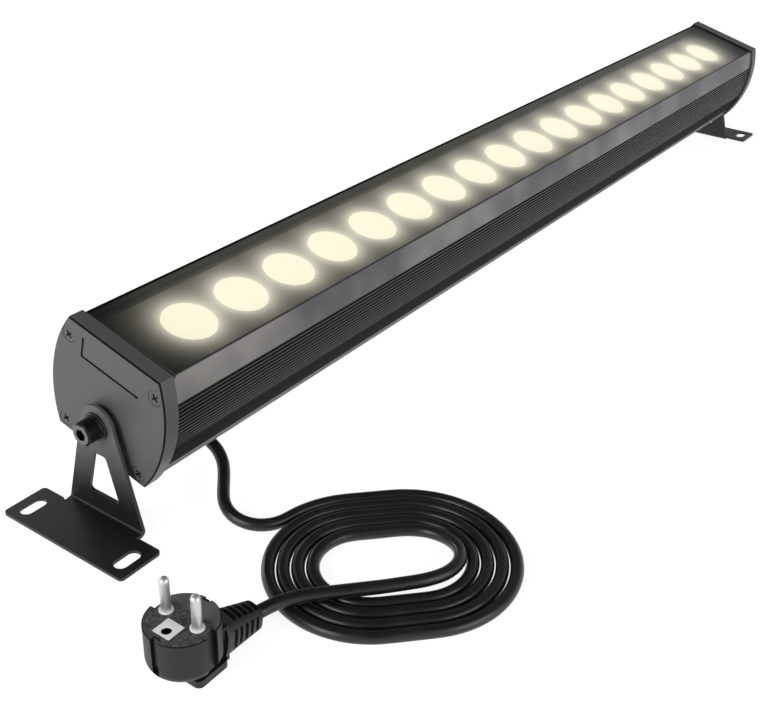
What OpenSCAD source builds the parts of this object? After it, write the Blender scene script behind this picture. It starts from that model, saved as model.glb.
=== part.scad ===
// LED wall washer bar: a linear floodlight between two hinged floor brackets.
// Frame: X along the bar (near end at -X), Y across it, Z up, z = 0 under the feet.

/* [View] */
// Node to build, or all of them

/* [Bar] */
// Length of the bar over both end plates
bar_len = 800; // [500:10:1200]
// Height of the bar section over the collars
bar_h = 72; // [60:1:90]
// Greatest half width of the section
bar_half_w = 40.8; // [34:0.2:50]
// Radius of the bulging sides
side_r = 78; // [60:1:120]
// Tilt of the bar about its pivots
tilt = 14.5; // [-90:0.5:90]
// Height of the pivots above the floor
pivot_h = 58; // [50:1:120]
// Height of the pivots in the bar section, from its underside
pivot_z = 23.5; // [15:0.5:36]
// Wall of the extruded housing
wall = 2.4; // [1.5:0.1:4]

/* [Grooves] */
// Number of fine grooves a side
groove_count = 13; // [0:1:20]
// Distance from groove to groove
groove_pitch = 2.25; // [1.5:0.05:4]
// Height of one groove
groove_w = 1.1; // [0.4:0.1:2]
// Depth of one groove
groove_d = 0.9; // [0.3:0.1:1.4]
// Upper edge of the grooved band
groove_top = 56; // [40:0.5:60]

/* [Glass] */
// Thickness of the front glass
glass_t = 4; // [3:0.5:6]
// Half width of the front glass
glass_half_w = 30; // [26:0.5:34]
// Thickness of the seal under the glass
seal_t = 0.5; // [0.3:0.1:2]

/* [Lights] */
// Number of lights in the row
led_count = 18; // [6:6:24]
// Distance of the outermost lights from the ends of the bar
light_margin = 54.475; // [40:0.025:70]
// Diameter of the lens flange
lens_d = 30.4; // [20:0.2:36]
// Diameter of the openings in the bezel plate
bezel_hole_d = 31; // [20.5:0.5:37]
// Half width of the bezel plate
bezel_half_w = 26.2; // [20:0.2:28]
// Thickness of the LED boards
board_t = 1.6; // [1:0.1:3]
// Half width of the LED boards
board_half_w = 25; // [18:0.5:26]

/* [Ends] */
// Thickness of the end plates
plate_t = 3; // [2:0.5:6]
// Depth of the whole cap, plate and collar
cap_depth = 9.4; // [6:0.2:16]
// Depth of the seam round the front edge of the end plates
seam = 0.8; // [0.3:0.1:1.5]
// Width of the engraved corner line
mark_w = 1.5; // [0.4:0.1:2]
// Depth of the engraved corner line
mark_d = 0.6; // [0.1:0.1:1]
// Diameter of the cap screw heads
cap_head_d = 8.8; // [6:0.2:9]
// Diameter of the counterbores for the cap screws
cap_bore_d = 9.2; // [7:0.2:11]
// Diameter of the cap screw shanks
cap_screw_d = 4; // [3:0.5:5]
// Thickness of the end gaskets
gasket_t = 0.5; // [0.3:0.1:2]

/* [Pivots] */
// Diameter of the pivot bolts
bolt_d = 8; // [6:1:12]
// Diameter of the bolt heads
bolt_head_d = 13; // [10:0.5:18]
// Height of the bolt heads
bolt_head_h = 8; // [5:0.5:12]
// Width of the hexagon socket across its flats
hex_w = 6; // [4:0.5:8]
// Thickness of the flat washers
flat_t = 1.2; // [0.8:0.1:2.5]
// Thickness of the spring washers
spring_t = 1.4; // [0.8:0.1:3]
// Thickness of the spacer washers between bracket and end plate
spacer_t = 3.5; // [1:0.5:8]
// Running clearance of the bolt in the bracket ear
bolt_clear = 0.05; // [0.02:0.01:0.1]

/* [Brackets] */
// Thickness of the bracket plate
bracket_t = 2; // [1.5:0.5:4]
// Radius of the bracket ear
ear_r = 12; // [10:0.5:18]
// Half width of the leg where it meets the foot
leg_half_w = 27.6; // [20:0.2:34]
// Length of the foot across the bar
foot_w = 90; // [70:1:120]
// Depth of the foot wings
foot_depth = 28; // [20:1:40]
// Inner radius of the bend
bend_r = 1.5; // [1:0.5:4]
// Length of the slots
slot_len = 16; // [8:1:24]
// Width of the slots
slot_w = 8; // [5:0.5:10]
// Distance between the two slots of a foot
slot_spacing = 72; // [50:1:90]
// Distance of the slots from the outer edge of the foot
slot_edge = 12.7; // [8:0.1:20]

/* [Cord and plug] */
// Diameter of the mains cord
cord_d = 7; // [5:0.5:9]
// Distance of the cord outlet from the near end of the bar
outlet_in = 59; // [40:1:160]
// Place of the cord outlet across the underside
outlet_y = 20; // [10:1:20]
// Length of the tapered strain relief on the gland
sleeve_len = 20; // [20:1:30]
// Diameter of the plug pins
pin_d = 4.8; // [4:0.1:5]
// Distance between the plug pins
pin_spacing = 19; // [17:0.5:20]
// Length of the plug pins
pin_len = 19; // [16:0.5:20]
// Radius of the plug face
plug_r = 17.6; // [16:0.2:20]
// Height of the plug face above the floor
plug_h = 30; // [24:1:40]
// Height of the underside of the plug's round front above the floor
front_z = 6; // [1:0.5:8]

/* [Hidden] */
$fn = 64;
half = bar_len / 2;
collar_back = half - cap_depth;
profile_half = half - 5;
gasket_out = profile_half + gasket_t;
skin = 1.4;
glass_top = bar_h - 2;
glass_z = glass_top - glass_t;
seal_z = glass_z - seal_t;
pocket_half = glass_half_w + 0.3;
glass_half_len = profile_half - 0.5;
ledge_t = 2.4;
ledge_half = 27;
lens_top = glass_z - 1.7;
flange_t = 2;
flange_z = lens_top - flange_t;
holder_h = 12.7;
holder_d = lens_d + 2.6;
web_t = 2;
web_z = flange_z - holder_h - board_t - web_t;
board_z = web_z + web_t;
led_z = board_z + board_t;
led_h = 0.8;
led_pitch = (bar_len - 2 * light_margin) / (led_count - 1);
mark_z = bar_h - 18;
port_y = 27.1;
port_r = 4.2;
screw_pos = [[30.5, bar_h - 10.5], [-30.5, bar_h - 10.5], [port_y, 6.6], [-port_y, 6.6]];
boss_d = 20;
insert_d = 12;
insert_len = 15;
ear_out = spacer_t + bracket_t;
head_in = ear_out + flat_t + spring_t;
boards = 3;
leds_per_board = led_count / boards;
board_len = leds_per_board * led_pitch - 0.5;
driver_x = -60;
driver_len = 240;
driver_w = 2 * (port_y - port_r - 0.9);
driver_h = 28;
driver_z = skin + wall;
board_l = driver_len - 24;
board_w = driver_w - 6;
core_w = driver_w - 16;
term_x = -half + 100;
outlet_x = -half + outlet_in;
outlet_z = -8;
ribs = 5;
pin_root_d = 6.4;
pin_neck_d = pin_d - 0.8;
pin_foot = plug_h + 0.9;

// The cord and the plug keep their place from the near end of a longer or shorter bar
near_shift = [400 - half, 0, 0];

// Centre line of the coil: a flat oval spiral whose turns lie side by side. Each half
// turn is an arc about one of two centres, one on either side of the middle
coil_c = [53.1 - half, -144];
coil_turn = 136.3;
coil_half = 12;
coil_r = 56;
coil_step = 7.5;
coil_start = -60;
coil_end = -1530;
coil_z = cord_d / 2 + 0.05;

// Points of the free stretches
drop_pts = [for (p = [
  [-341, -13, 22.1], [-341.59, -19.3, 20.39], [-343.54, -25.31, 18.39],
  [-346.8, -30.72, 16.19], [-351.16, -35.3, 13.9], [-355.99, -39.39, 11.73],
  [-360.84, -43.48, 9.74], [-365.2, -48.04, 8.02], [-368.02, -53.68, 6.62],
  [-368.95, -59.92, 5.5], [-367.89, -66.14, 4.65], [-364.94, -71.72, 4.06],
  [-360.4, -76.1, 3.75], [-354.73, -78.85, 3.59], [-348.51, -80, 3.55]
]) p + near_shift];
tail_pts = [for (p = [
  [-329.4, -125.7, 3.55], [-320.7, -133.9, 3.55], [-314.9, -143.2, 3.8],
  [-313.6, -153.9, 4.8], [-316.8, -164, 6.4], [-323.9, -171.8, 8.4], [-333.5, -175.9, 10.2],
  [-343.9, -175.7, 11.2], [-353.4, -171.2, 11.4], [-362.4, -164, 11.3],
  [-371.5, -156.1, 11.2], [-380.6, -147.7, 11.2], [-389.6, -139.4, 11.2],
  [-399, -131.1, 11.3], [-409.4, -123.6, 10.5]
]) p + near_shift];
plug_c = [-59.9 - half, -111.2];
boot_root = [-443.5, -115.5, 11.5] + near_shift;
boot_tip = [-420.5, -118.5, 8.4] + near_shift;
boot_v = boot_tip - boot_root;
boot_len = norm(boot_v);
boot_u = boot_v / boot_len;

// Point of the bar section in the frame of the part
function on_bar(x, y, z) = [
  x,
  y * cos(tilt) - (z - pivot_z) * sin(tilt),
  pivot_h + y * sin(tilt) + (z - pivot_z) * cos(tilt)
];
// Direction of the cord where it leaves the gland
exit_u = [0, -cos(tilt), -sin(tilt)];
exit_p = on_bar(outlet_x, outlet_y - 20.5, outlet_z);
// Point of the spiral at angle t, about the centre on side s
function spiral(t, s) =
  let (r = coil_r - coil_step * (coil_start - t) / 360,
       u = coil_half * s + r * cos(t),
       v = r * sin(t))
  [coil_c[0] + u * cos(coil_turn) - v * sin(coil_turn),
   coil_c[1] + u * sin(coil_turn) + v * cos(coil_turn),
   coil_z];
// Side of the arc at angle t, and both sides where one arc gives way to the other
function side(t) = cos(t) > 0 ? 1 : -1;
function sides(t) = t == coil_end ? [side(t + 1)]
  : abs(cos(t)) < 0.001 ? [side(t + 1), side(t - 1)] : [side(t)];
// One point of a spline through four others
function spline(p, q, r, s, t) =
  0.5 * (2 * q + (r - p) * t + (2 * p - 5 * q + 4 * r - s) * t * t
         + (3 * q - p - 3 * r + s) * t * t * t);
// A line through all points but the first and last, m steps between two of them
function smooth_line(p, m) = concat(
  [for (i = [1 : len(p) - 3], k = [0 : m - 1])
    spline(p[i - 1], p[i], p[i + 1], p[i + 2], k / m)],
  [p[len(p) - 2]]);
function unit(v) = v / norm(v);
drop_line = smooth_line(
  concat([for (d = [-7, 0, 7, 14]) exit_p + d * exit_u], drop_pts,
         [spiral(coil_start, 1), spiral(coil_start - 8, 1)]), 2);
coil_line = [for (t = [coil_start : -15 : coil_end], s = sides(t)) spiral(t, s)];
tail_line = smooth_line(
  concat([spiral(coil_end + 8, 1), spiral(coil_end, 1)], tail_pts,
         [boot_tip, boot_tip - 8 * boot_u]), 2);
// Sum of a list, and length of a line of points
function sum(v, i = 0) = i < len(v) ? v[i] + sum(v, i + 1) : 0;
function line_len(p) = sum([for (i = [1 : len(p) - 1]) norm(p[i] - p[i - 1])]);
// Least distance between points of the spiral more than half a turn apart
coil_gap = min([for (i = [0 : len(coil_line) - 1], j = [0 : len(coil_line) - 1])
  if (j - i > 13) norm(coil_line[i] - coil_line[j])]) - cord_d;
echo(cord_length = sum([line_len(drop_line), line_len(coil_line), line_len(tail_line)]));
echo(coil_gap = coil_gap);

// Places its children in the tilted section of the bar
module bar() {
  translate([0, 0, pivot_h])
    rotate([tilt, 0, 0])
      translate([0, 0, -pivot_z])
        children();
}

// Extrudes a section drawn in y and z from x0 to x1
module along_x(x0, x1) {
  translate([x0, 0, 0])
    rotate([90, 0, 90])
      linear_extrude(height = x1 - x0)
        children();
}

// Both ends: the near one and its mirror image
module both_ends() {
  children();
  mirror([1, 0, 0]) children();
}

// A straight rod along x at one point of the section
module rod_x(x0, x1, y, z, d) {
  translate([x0, y, z])
    rotate([0, 90, 0])
      cylinder(h = x1 - x0, d = d);
}

// Section of the bar, set in from its outline
module barrel(inset) {
  intersection() {
    translate([bar_half_w - side_r, bar_h / 2])
      circle(r = side_r - inset, $fn = 128);
    translate([side_r - bar_half_w, bar_h / 2])
      circle(r = side_r - inset, $fn = 128);
    translate([-60, inset])
      square([120, bar_h - 2 * inset]);
  }
}

// Rectangle with round corners, about its middle
module round_rect(w, h, r) {
  square([w - 2 * r, h], center = true);
  square([w, h - 2 * r], center = true);
  for (x = [-1, 1], y = [-1, 1])
    translate([x * (w / 2 - r), y * (h / 2 - r)])
      circle(r = r, $fn = 32);
}

// Convex outline with round corners about the given centres; its straight sides lie
// 0.02 mm inside the corner arcs
module round_poly(p, r) {
  n = len(p);
  e = r - 0.02;
  function normal(i) = let (d = p[(i + 1) % n] - p[i]) [d[1], -d[0]] / norm(d);
  polygon([for (i = [0 : n - 1], k = [0, 1]) p[i] + e * normal((i + n - 1 + k) % n)]);
  for (q = p)
    translate(q)
      circle(r = r, $fn = 32);
}

// A tube of radius r along a line of points, with n sides; ref is a direction that the
// line never takes
module tube(p, r, n, ref = [0, 0, 1]) {
  m = len(p);
  function along(i) = unit(p[min(i + 1, m - 1)] - p[max(i - 1, 0)]);
  function side(i) = unit(cross(along(i), ref));
  function up(i) = cross(side(i), along(i));
  pts = [for (i = [0 : m - 1], k = [0 : n - 1])
    p[i] + r * (cos(90 + 360 * k / n) * side(i) + sin(90 + 360 * k / n) * up(i))];
  walls = [for (i = [0 : m - 2], k = [0 : n - 1], h = [0, 1])
    h == 0 ? [i * n + k, (i + 1) * n + k, i * n + (k + 1) % n]
           : [i * n + (k + 1) % n, (i + 1) * n + k, (i + 1) * n + (k + 1) % n]];
  polyhedron(points = pts,
    faces = concat(walls, [[for (k = [0 : n - 1]) k]],
      [[for (k = [n - 1 : -1 : 0]) (m - 1) * n + k]]));
}

// A wire that runs smoothly through the given points
module wire(p, r) {
  q = concat([2 * p[0] - p[1]], p, [2 * p[len(p) - 1] - p[len(p) - 2]]);
  tube(smooth_line(q, 3), r, 8, [0, 1, 0]);
}

// Height of the groove with number k
function groove_z(k) = groove_top - (k + 0.5) * groove_pitch;
// Half width of the section at height z, set in from its outline
function half_w(z, inset) =
  sqrt(pow(side_r - inset, 2) - pow(z - bar_h / 2, 2)) - (side_r - bar_half_w);
// Place of the light with number k along the bar
function led_x(k) = (k - (led_count - 1) / 2) * led_pitch;

// Section of the extruded housing
module profile_2d() {
  difference() {
    union() {
      difference() {
        barrel(skin);
        // plain zone under the grooves, which leaves a lip at the bottom edge
        for (s = [-1, 1])
          scale([s, 1])
            difference() {
              translate([20, 3.6])
                square([30, 23.4]);
              barrel(skin + 0.6);
            }
        for (k = [0 : 1 : groove_count - 1], s = [0, 1])
          mirror([s, 0])
            translate([half_w(groove_z(k), skin) - groove_d, groove_z(k) - groove_w / 2])
              square([4, groove_w]);
        // lower chamber
        intersection() {
          barrel(skin + wall);
          translate([-60, skin + wall])
            square([120, web_z - skin - wall]);
        }
        // light chamber
        intersection() {
          barrel(skin + wall);
          translate([-60, board_z])
            square([120, seal_z - ledge_t - board_z]);
        }
        translate([-ledge_half, board_z])
          square([2 * ledge_half, bar_h]);
      }
      for (p = screw_pos)
        translate(p)
          circle(r = port_r, $fn = 48);
    }
    translate([-pocket_half, seal_z])
      square([2 * pocket_half, bar_h]);
    for (p = screw_pos)
      translate(p)
        circle(d = cap_screw_d + 0.1, $fn = 32);
  }
}

module housing_profile() {
  color("#3b393c")
    bar()
      difference() {
        along_x(-profile_half, profile_half)
          profile_2d();
        for (b = [0 : boards - 1], q = board_holes())
          translate([board_x(b) + q[0], q[1], web_z - 1])
            cylinder(h = web_t + 2, d = 3.1, $fn = 32);
        // way of the light leads through the web
        translate([-half + 23, 0, web_z - 1])
          cylinder(h = web_t + 2, d = 8, $fn = 32);
        // way of the mains leads through the bottom
        translate([outlet_x, outlet_y, -1])
          cylinder(h = 1.4 + skin + wall, d = 9, $fn = 32);
      }
}

module front_glass() {
  color("#252326")
    bar()
      along_x(-glass_half_len, glass_half_len)
        translate([-glass_half_w, glass_z])
          square([2 * glass_half_w, glass_t]);
}

module glass_seal() {
  color("#151515")
    bar()
      translate([0, 0, seal_z])
        difference() {
          translate([-glass_half_len, -glass_half_w, 0])
            cube([2 * glass_half_len, 2 * glass_half_w, seal_t]);
          translate([5 - glass_half_len, 0.2 - ledge_half, -1])
            cube([2 * glass_half_len - 10, 2 * ledge_half - 0.4, seal_t + 2]);
        }
}

// Screw holes through the sheets of an end
module cap_holes(x0, x1, d) {
  for (p = screw_pos)
    rod_x(x0, x1, p[0], p[1], d);
}

// Opening in the middle of collar and gasket
module cap_opening() {
  translate([0, bar_h / 2 - 2])
    round_rect(52, bar_h - 28, 6);
}

// The end plate as it sits at the near end
module end_plate() {
  difference() {
    union() {
      along_x(-half, -half + seam)
        barrel(seam);
      along_x(-half + seam, -half + plate_t)
        barrel(0);
      rod_x(-half + plate_t - 0.5, -half + insert_len, 0, pivot_z, boss_d);
    }
    cap_holes(-half - 1, -half + 10, cap_screw_d + 0.5);
    cap_holes(-half - 1, -half + 1.7, cap_bore_d);
    rod_x(-half - 1, -half + insert_len + 1, 0, pivot_z, insert_d);
    // engraved corner line
    translate([-half - 1, 20.35 - mark_w / 2, mark_z - mark_w / 2])
      cube([1 + mark_d, mark_w, 11.8 + mark_w / 2]);
    translate([-half - 1, -20, mark_z - mark_w / 2])
      cube([1 + mark_d, 20.35 + 20 + mark_w / 2, mark_w]);
  }
}

module near_end_plate() {
  color("#6b696c")
    bar()
      end_plate();
}

module far_end_plate() {
  color("#6b696c")
    bar()
      mirror([1, 0, 0])
        end_plate();
}

// The collar as it sits at the near end
module collar() {
  difference() {
    along_x(-half + plate_t, -collar_back)
      barrel(0);
    along_x(-half + plate_t - 1, -collar_back + 1)
      cap_opening();
    // skirt over the end of the housing, with a bar over the end of the glass
    along_x(-gasket_out, -collar_back + 1)
      difference() {
        barrel(skin - 0.05);
        translate([0.4 - glass_half_w, glass_top + 0.05])
          square([2 * glass_half_w - 0.8, 5]);
      }
    cap_holes(-half, -gasket_out + 1, cap_screw_d + 0.5);
  }
}

module near_collar() {
  color("#525053")
    bar()
      collar();
}

module far_collar() {
  color("#525053")
    bar()
      mirror([1, 0, 0])
        collar();
}

// The gasket as it sits at the near end
module gasket() {
  difference() {
    along_x(-gasket_out, -profile_half)
      difference() {
        barrel(skin + 0.2);
        cap_opening();
        translate([-60, glass_top])
          square([120, 10]);
      }
    cap_holes(-half, -profile_half + 1, cap_screw_d + 0.5);
  }
}

module near_gasket() {
  color("#1b1b1b")
    bar()
      gasket();
}

module far_gasket() {
  color("#1b1b1b")
    bar()
      mirror([1, 0, 0])
        gasket();
}

module cap_screws() {
  color("#8a888b")
    bar()
      both_ends()
        for (p = screw_pos)
          difference() {
            union() {
              rod_x(-half + 0.1, -half + 1.7, p[0], p[1], cap_head_d);
              rod_x(-half + 1.6, -half + 17, p[0], p[1], cap_screw_d);
            }
            translate([-half, p[0], p[1]])
              rotate([45, 0, 0]) {
                cube([2.2, 4.8, 1.1], center = true);
                cube([2.2, 1.1, 4.8], center = true);
              }
          }
}

module threaded_inserts() {
  color("#b8a060")
    bar()
      both_ends()
        difference() {
          rod_x(-half, -half + insert_len, 0, pivot_z, insert_d);
          rod_x(-half - 1, -half + insert_len + 1, 0, pivot_z, bolt_d + 0.1);
        }
}

module pivot_bolts() {
  color("#2a292b")
    bar()
      both_ends()
        difference() {
          union() {
            rod_x(-half - head_in - bolt_head_h + 1, -half - head_in, 0, pivot_z, bolt_head_d);
            translate([-half - head_in - bolt_head_h, 0, pivot_z])
              rotate([0, 90, 0])
                cylinder(h = 1, d1 = bolt_head_d - 2, d2 = bolt_head_d);
            rod_x(-half - head_in - 1, -half + insert_len - 1, 0, pivot_z, bolt_d);
          }
          translate([-half - head_in - bolt_head_h - 1, 0, pivot_z])
            rotate([0, 90, 0])
              cylinder(h = 5, d = hex_w / cos(30), $fn = 6);
        }
}

// A washer at the near end and one at the far end
module washers(x0, t, d, bore) {
  bar()
    both_ends()
      difference() {
        rod_x(x0, x0 + t, 0, pivot_z, d);
        rod_x(x0 - 1, x0 + t + 1, 0, pivot_z, bore);
      }
}

module spring_washers() {
  color("#5a595b")
    difference() {
      washers(-half - head_in, spring_t, bolt_head_d + 0.6, bolt_d + 0.4);
      bar()
        both_ends()
          translate([-half - head_in - 1, -0.6, pivot_z])
            cube([spring_t + 2, 1.2, 10]);
    }
}

module flat_washers() {
  color("#5a595b")
    washers(-half - ear_out - flat_t, flat_t, 16, bolt_d + 0.4);
}

module spacer_washers() {
  color("#3a393b")
    washers(-half - spacer_t + 0.02, spacer_t - 0.02, 18, bolt_d + 0.4);
}

// Half width of the bracket leg at height z
slope = (leg_half_w - 12.58) / (pivot_h - 3.5);
function leg_w(z) = leg_half_w - (z - 3.5) * slope;

// The bracket as it stands at the near end
module bracket() {
  x_out = -half - ear_out;
  x_bend = x_out - bend_r;
  x_wing = -half - 9.2;
  x_end = x_wing - foot_depth;
  // the ear stands 0.05 mm proud of the straight sides, so that the two cross clearly
  tz = pivot_h + (ear_r - 0.05) * sin(atan(slope));
  ty = (ear_r - 0.05) * cos(atan(slope));
  difference() {
    along_x(x_out, x_out + bracket_t)
      difference() {
        union() {
          polygon([[ty, tz], [-ty, tz], [-leg_half_w, 3.5], [leg_half_w, 3.5]]);
          translate([0, pivot_h])
            circle(r = ear_r, $fn = 96);
        }
        translate([0, pivot_h])
          circle(d = bolt_d + 2 * bolt_clear, $fn = 48);
        round_poly([[-8.9, 15.8], [8.9, 15.8], [2.7, 38.2], [-2.7, 38.2]], 2);
      }
  }
  // bend between leg and foot
  translate([x_bend, 0, bracket_t + bend_r])
    rotate([90, 0, 0])
      translate([0, 0, -leg_half_w])
        linear_extrude(height = 2 * leg_half_w)
          intersection() {
            difference() {
              circle(r = bend_r + bracket_t, $fn = 48);
              circle(r = bend_r, $fn = 48);
            }
            translate([0, -10])
              square([10, 10]);
          }
  // foot
  linear_extrude(height = bracket_t)
    difference() {
      union() {
        translate([x_wing - 1, -leg_half_w])
          square([x_bend - x_wing + 1, 2 * leg_half_w]);
        translate([(x_wing + x_end) / 2, 0])
          round_rect(foot_depth, foot_w, 2.5);
      }
      for (s = [-1, 1]) {
        translate([x_wing, s * (leg_half_w + 0.6)])
          circle(r = 1, $fn = 32);
        translate([x_end + slot_edge, s * slot_spacing / 2]) {
          square([slot_len - slot_w, slot_w], center = true);
          for (e = [-1, 1])
            translate([e * (slot_len - slot_w) / 2, 0])
              circle(d = slot_w, $fn = 48);
        }
      }
    }
}

module near_bracket() {
  color("#2a282b")
    bracket();
}

module far_bracket() {
  color("#2a282b")
    mirror([1, 0, 0])
      bracket();
}

module lens_bezel_plate() {
  color("#1a191b")
    bar()
      difference() {
        translate([-profile_half + 8, -bezel_half_w, flange_z])
          cube([2 * profile_half - 16, 2 * bezel_half_w, flange_t]);
        for (k = [0 : led_count - 1])
          translate([led_x(k), 0, flange_z - 1])
            cylinder(h = flange_t + 2, d = bezel_hole_d);
      }
}

module lenses() {
  color("#fff9df")
    bar()
      for (k = [0 : led_count - 1])
        translate([led_x(k), 0, 0])
          difference() {
            union() {
              translate([0, 0, flange_z])
                cylinder(h = flange_t, d = lens_d);
              translate([0, 0, led_z + led_h + 0.2])
                cylinder(h = flange_z - led_z - led_h - 0.2, r1 = 6.5, r2 = 13.6);
            }
            translate([0, 0, led_z])
              cylinder(h = 4, d = 9, $fn = 48);
          }
}

module lens_holders() {
  color("#e8e6e0")
    bar()
      for (k = [0 : led_count - 1])
        translate([led_x(k), 0, led_z])
          difference() {
            cylinder(h = holder_h, d = holder_d);
            translate([0, 0, -1])
              cylinder(h = holder_h + 2, d = lens_d - 2);
          }
}

// Place of an LED board along the bar
function board_x(b) = (b - (boards - 1) / 2) * leds_per_board * led_pitch;
// Screw holes of an LED board, from its middle
function board_holes() = [for (x = [-2 * led_pitch, 2 * led_pitch], y = [-21.5, 21.5]) [x, y]];

module led_boards() {
  color("#d8d8d2")
    bar()
      for (b = [0 : boards - 1])
        translate([board_x(b), 0, board_z])
          difference() {
            translate([-board_len / 2, -board_half_w, 0])
              cube([board_len, 2 * board_half_w, board_t]);
            for (q = board_holes())
              translate([q[0], q[1], -1])
                cylinder(h = board_t + 2, d = 3.4, $fn = 32);
          }
}

module led_packages() {
  color("#ffe9a8")
    bar()
      for (k = [0 : led_count - 1])
        translate([led_x(k) - 3, -3, led_z])
          cube([6, 6, led_h]);
}

module board_screws() {
  color("#c0c0c0")
    bar()
      for (b = [0 : boards - 1], q = board_holes())
        translate([board_x(b) + q[0], q[1], 0]) {
          translate([0, 0, led_z])
            cylinder(h = 2, d = 5.5, $fn = 32);
          translate([0, 0, web_z - 2])
            cylinder(h = led_z - web_z + 2.1, d = 3, $fn = 32);
        }
}

module driver_case() {
  color("#9a9c9e")
    bar()
      translate([driver_x, 0, driver_z])
        difference() {
          union() {
            difference() {
              translate([-driver_len / 2, -driver_w / 2, 0])
                cube([driver_len, driver_w, driver_h]);
              translate([1.6 - driver_len / 2, 1.6 - driver_w / 2, 1.6])
                cube([driver_len - 3.2, driver_w - 3.2, driver_h]);
            }
            for (p = driver_corners())
              translate([p[0], p[1], 0])
                cylinder(h = driver_h, d = 8, $fn = 32);
            // posts of the board
            for (x = [-1, 1], y = [-1, 1])
              translate([x * (board_l / 2 - 18), y * (board_w / 2 - 6), 1])
                cylinder(h = 4.6, d = 6, $fn = 32);
          }
          for (p = driver_corners())
            translate([p[0], p[1], 12])
              cylinder(h = driver_h, d = 3.1, $fn = 32);
          for (s = [-1, 1])
            translate([s * driver_len / 2, 0, 18])
              rotate([0, 90, 0])
                cylinder(h = 8, d = 9, center = true, $fn = 32);
        }
}

// Corners of the driver case that take the lid screws
function driver_corners() = [for (x = [-1, 1], y = [-1, 1])
  [x * (driver_len / 2 - 4.5), y * (driver_w / 2 - 4.5)]];

module driver_lid() {
  color("#9a9c9e")
    bar()
      translate([driver_x, 0, driver_z + driver_h])
        difference() {
          translate([-driver_len / 2, -driver_w / 2, 0])
            cube([driver_len, driver_w, 1.6]);
          for (p = driver_corners())
            translate([p[0], p[1], -1])
              cylinder(h = 4, d = 3.4, $fn = 32);
        }
}

module driver_screws() {
  color("#c0c0c0")
    bar()
      translate([driver_x, 0, driver_z + driver_h])
        for (p = driver_corners())
          translate([p[0], p[1], 0]) {
            translate([0, 0, 1.6])
              cylinder(h = 2, d = 5.5, $fn = 32);
            translate([0, 0, -12])
              cylinder(h = 13.7, d = 3, $fn = 32);
          }
}

module driver_board() {
  color("#2f6b3c")
    bar()
      translate([driver_x, 0, driver_z + 5.6])
        translate([-board_l / 2, -board_w / 2, 0])
          cube([board_l, board_w, 1.6]);
}

module driver_parts() {
  color("#c9b45a")
    bar()
      translate([driver_x, 0, driver_z + 7.2]) {
        // transformer: core and winding
        translate([-20, -core_w / 2, 0])
          cube([8, core_w, 17]);
        translate([-12, 3 - core_w / 2, 0])
          cube([18, core_w - 6, 15]);
        translate([6, -core_w / 2, 0])
          cube([8, core_w, 17]);
        // capacitors
        for (x = [-70, -50, 46, 66])
          translate([x, 0, 0])
            cylinder(h = 17, d = core_w / 2, $fn = 48);
        // heat spreader of the switching stage
        translate([28, -core_w / 2 - 1, 0])
          cube([3, core_w + 2, 16]);
      }
}

module terminal_block() {
  color("#e8e6df")
    bar()
      difference() {
        translate([term_x, -14, skin + wall])
          cube([18, 28, 14]);
        for (y = [-8.6, 0, 8.6]) {
          translate([term_x + 9, y, skin + wall + 9])
            cylinder(h = 12, d = 4.5, $fn = 32);
          rod_x(term_x - 1, term_x + 6, y, skin + wall + 7, 3);
          rod_x(term_x + 12, term_x + 19, y, skin + wall + 7, 3);
        }
      }
}

module inner_leads() {
  z0 = skin + wall;
  case_x = driver_x - driver_len / 2;
  hole_z = driver_z + 18;
  color("#8a5a2a")
    bar() {
      for (y = [-1, 0, 1])
        wire([[outlet_x + 1.4 * y, outlet_y + 1.9 * y, -2],
          [outlet_x + 1.4 * y + 1, outlet_y + 1.9 * y - 1, z0 + 2],
          [outlet_x + 1.4 * y + 18, outlet_y + 1.9 * y - 12, z0 + 6.6],
          [term_x - 8, 8.6 * y, z0 + 7], [term_x - 3, 8.6 * y, z0 + 7],
          [term_x + 5, 8.6 * y, z0 + 7]], 0.95);
      for (y = [-1, 1])
        wire([[term_x + 13, 8.6 * y, z0 + 7], [term_x + 20, 8.6 * y, z0 + 7],
          [term_x + 24, 8.4 * y, z0 + 7.2],
          [term_x + 40, 5 * y, z0 + 9], [case_x - 50, 2.4 * y, hole_z - 1.9],
          [case_x + 1, 2.4 * y, hole_z - 1.9]], 0.95);
      for (y = [-1.6, 1.6])
        wire([[case_x + 1, y, hole_z + 2], [case_x - 10, y, hole_z + 2.6],
          [case_x - 32, y, web_z - 10], [term_x, y, web_z - 5],
          [-half + 32, y, web_z - 4.5], [-half + 23.5, y, web_z],
          [-half + 25.5, y, board_z + 3.4], [-half + 32, y, board_z + 4],
          [led_x(0) - 17, y, led_z + 0.9]], 0.9);
    }
}

module cable_outlet() {
  color("#1f1e20")
    bar()
      difference() {
        union() {
          translate([outlet_x - 11, outlet_y - 10, outlet_z - 8])
            cube([22, 21, 8 - outlet_z + skin]);
          translate([outlet_x, outlet_y - 9, outlet_z])
            rotate([90, 0, 0])
              cylinder(h = 5, d = 12);
        }
        translate([outlet_x, outlet_y - 20, outlet_z])
          rotate([-90, 0, 0])
            cylinder(h = 24, d = 8.4, $fn = 48);
        translate([outlet_x, outlet_y, outlet_z])
          cylinder(h = 20, d = 7.2, $fn = 48);
      }
}

module gland_nut() {
  color("#1b1a1c")
    bar()
      translate([outlet_x, outlet_y, outlet_z])
        rotate([90, 0, 0])
          difference() {
            union() {
              translate([0, 0, 10])
                cylinder(h = 6.5, d = 16 / cos(30), $fn = 6);
              translate([0, 0, 16.4])
                cylinder(h = 5.1, d1 = 15.6, d2 = 11.4);
            }
            translate([0, 0, 9])
              cylinder(h = 5.1, d = 12.1);
            translate([0, 0, 9])
              cylinder(h = 20, d = cord_d + 0.8, $fn = 48);
          }
}

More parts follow.
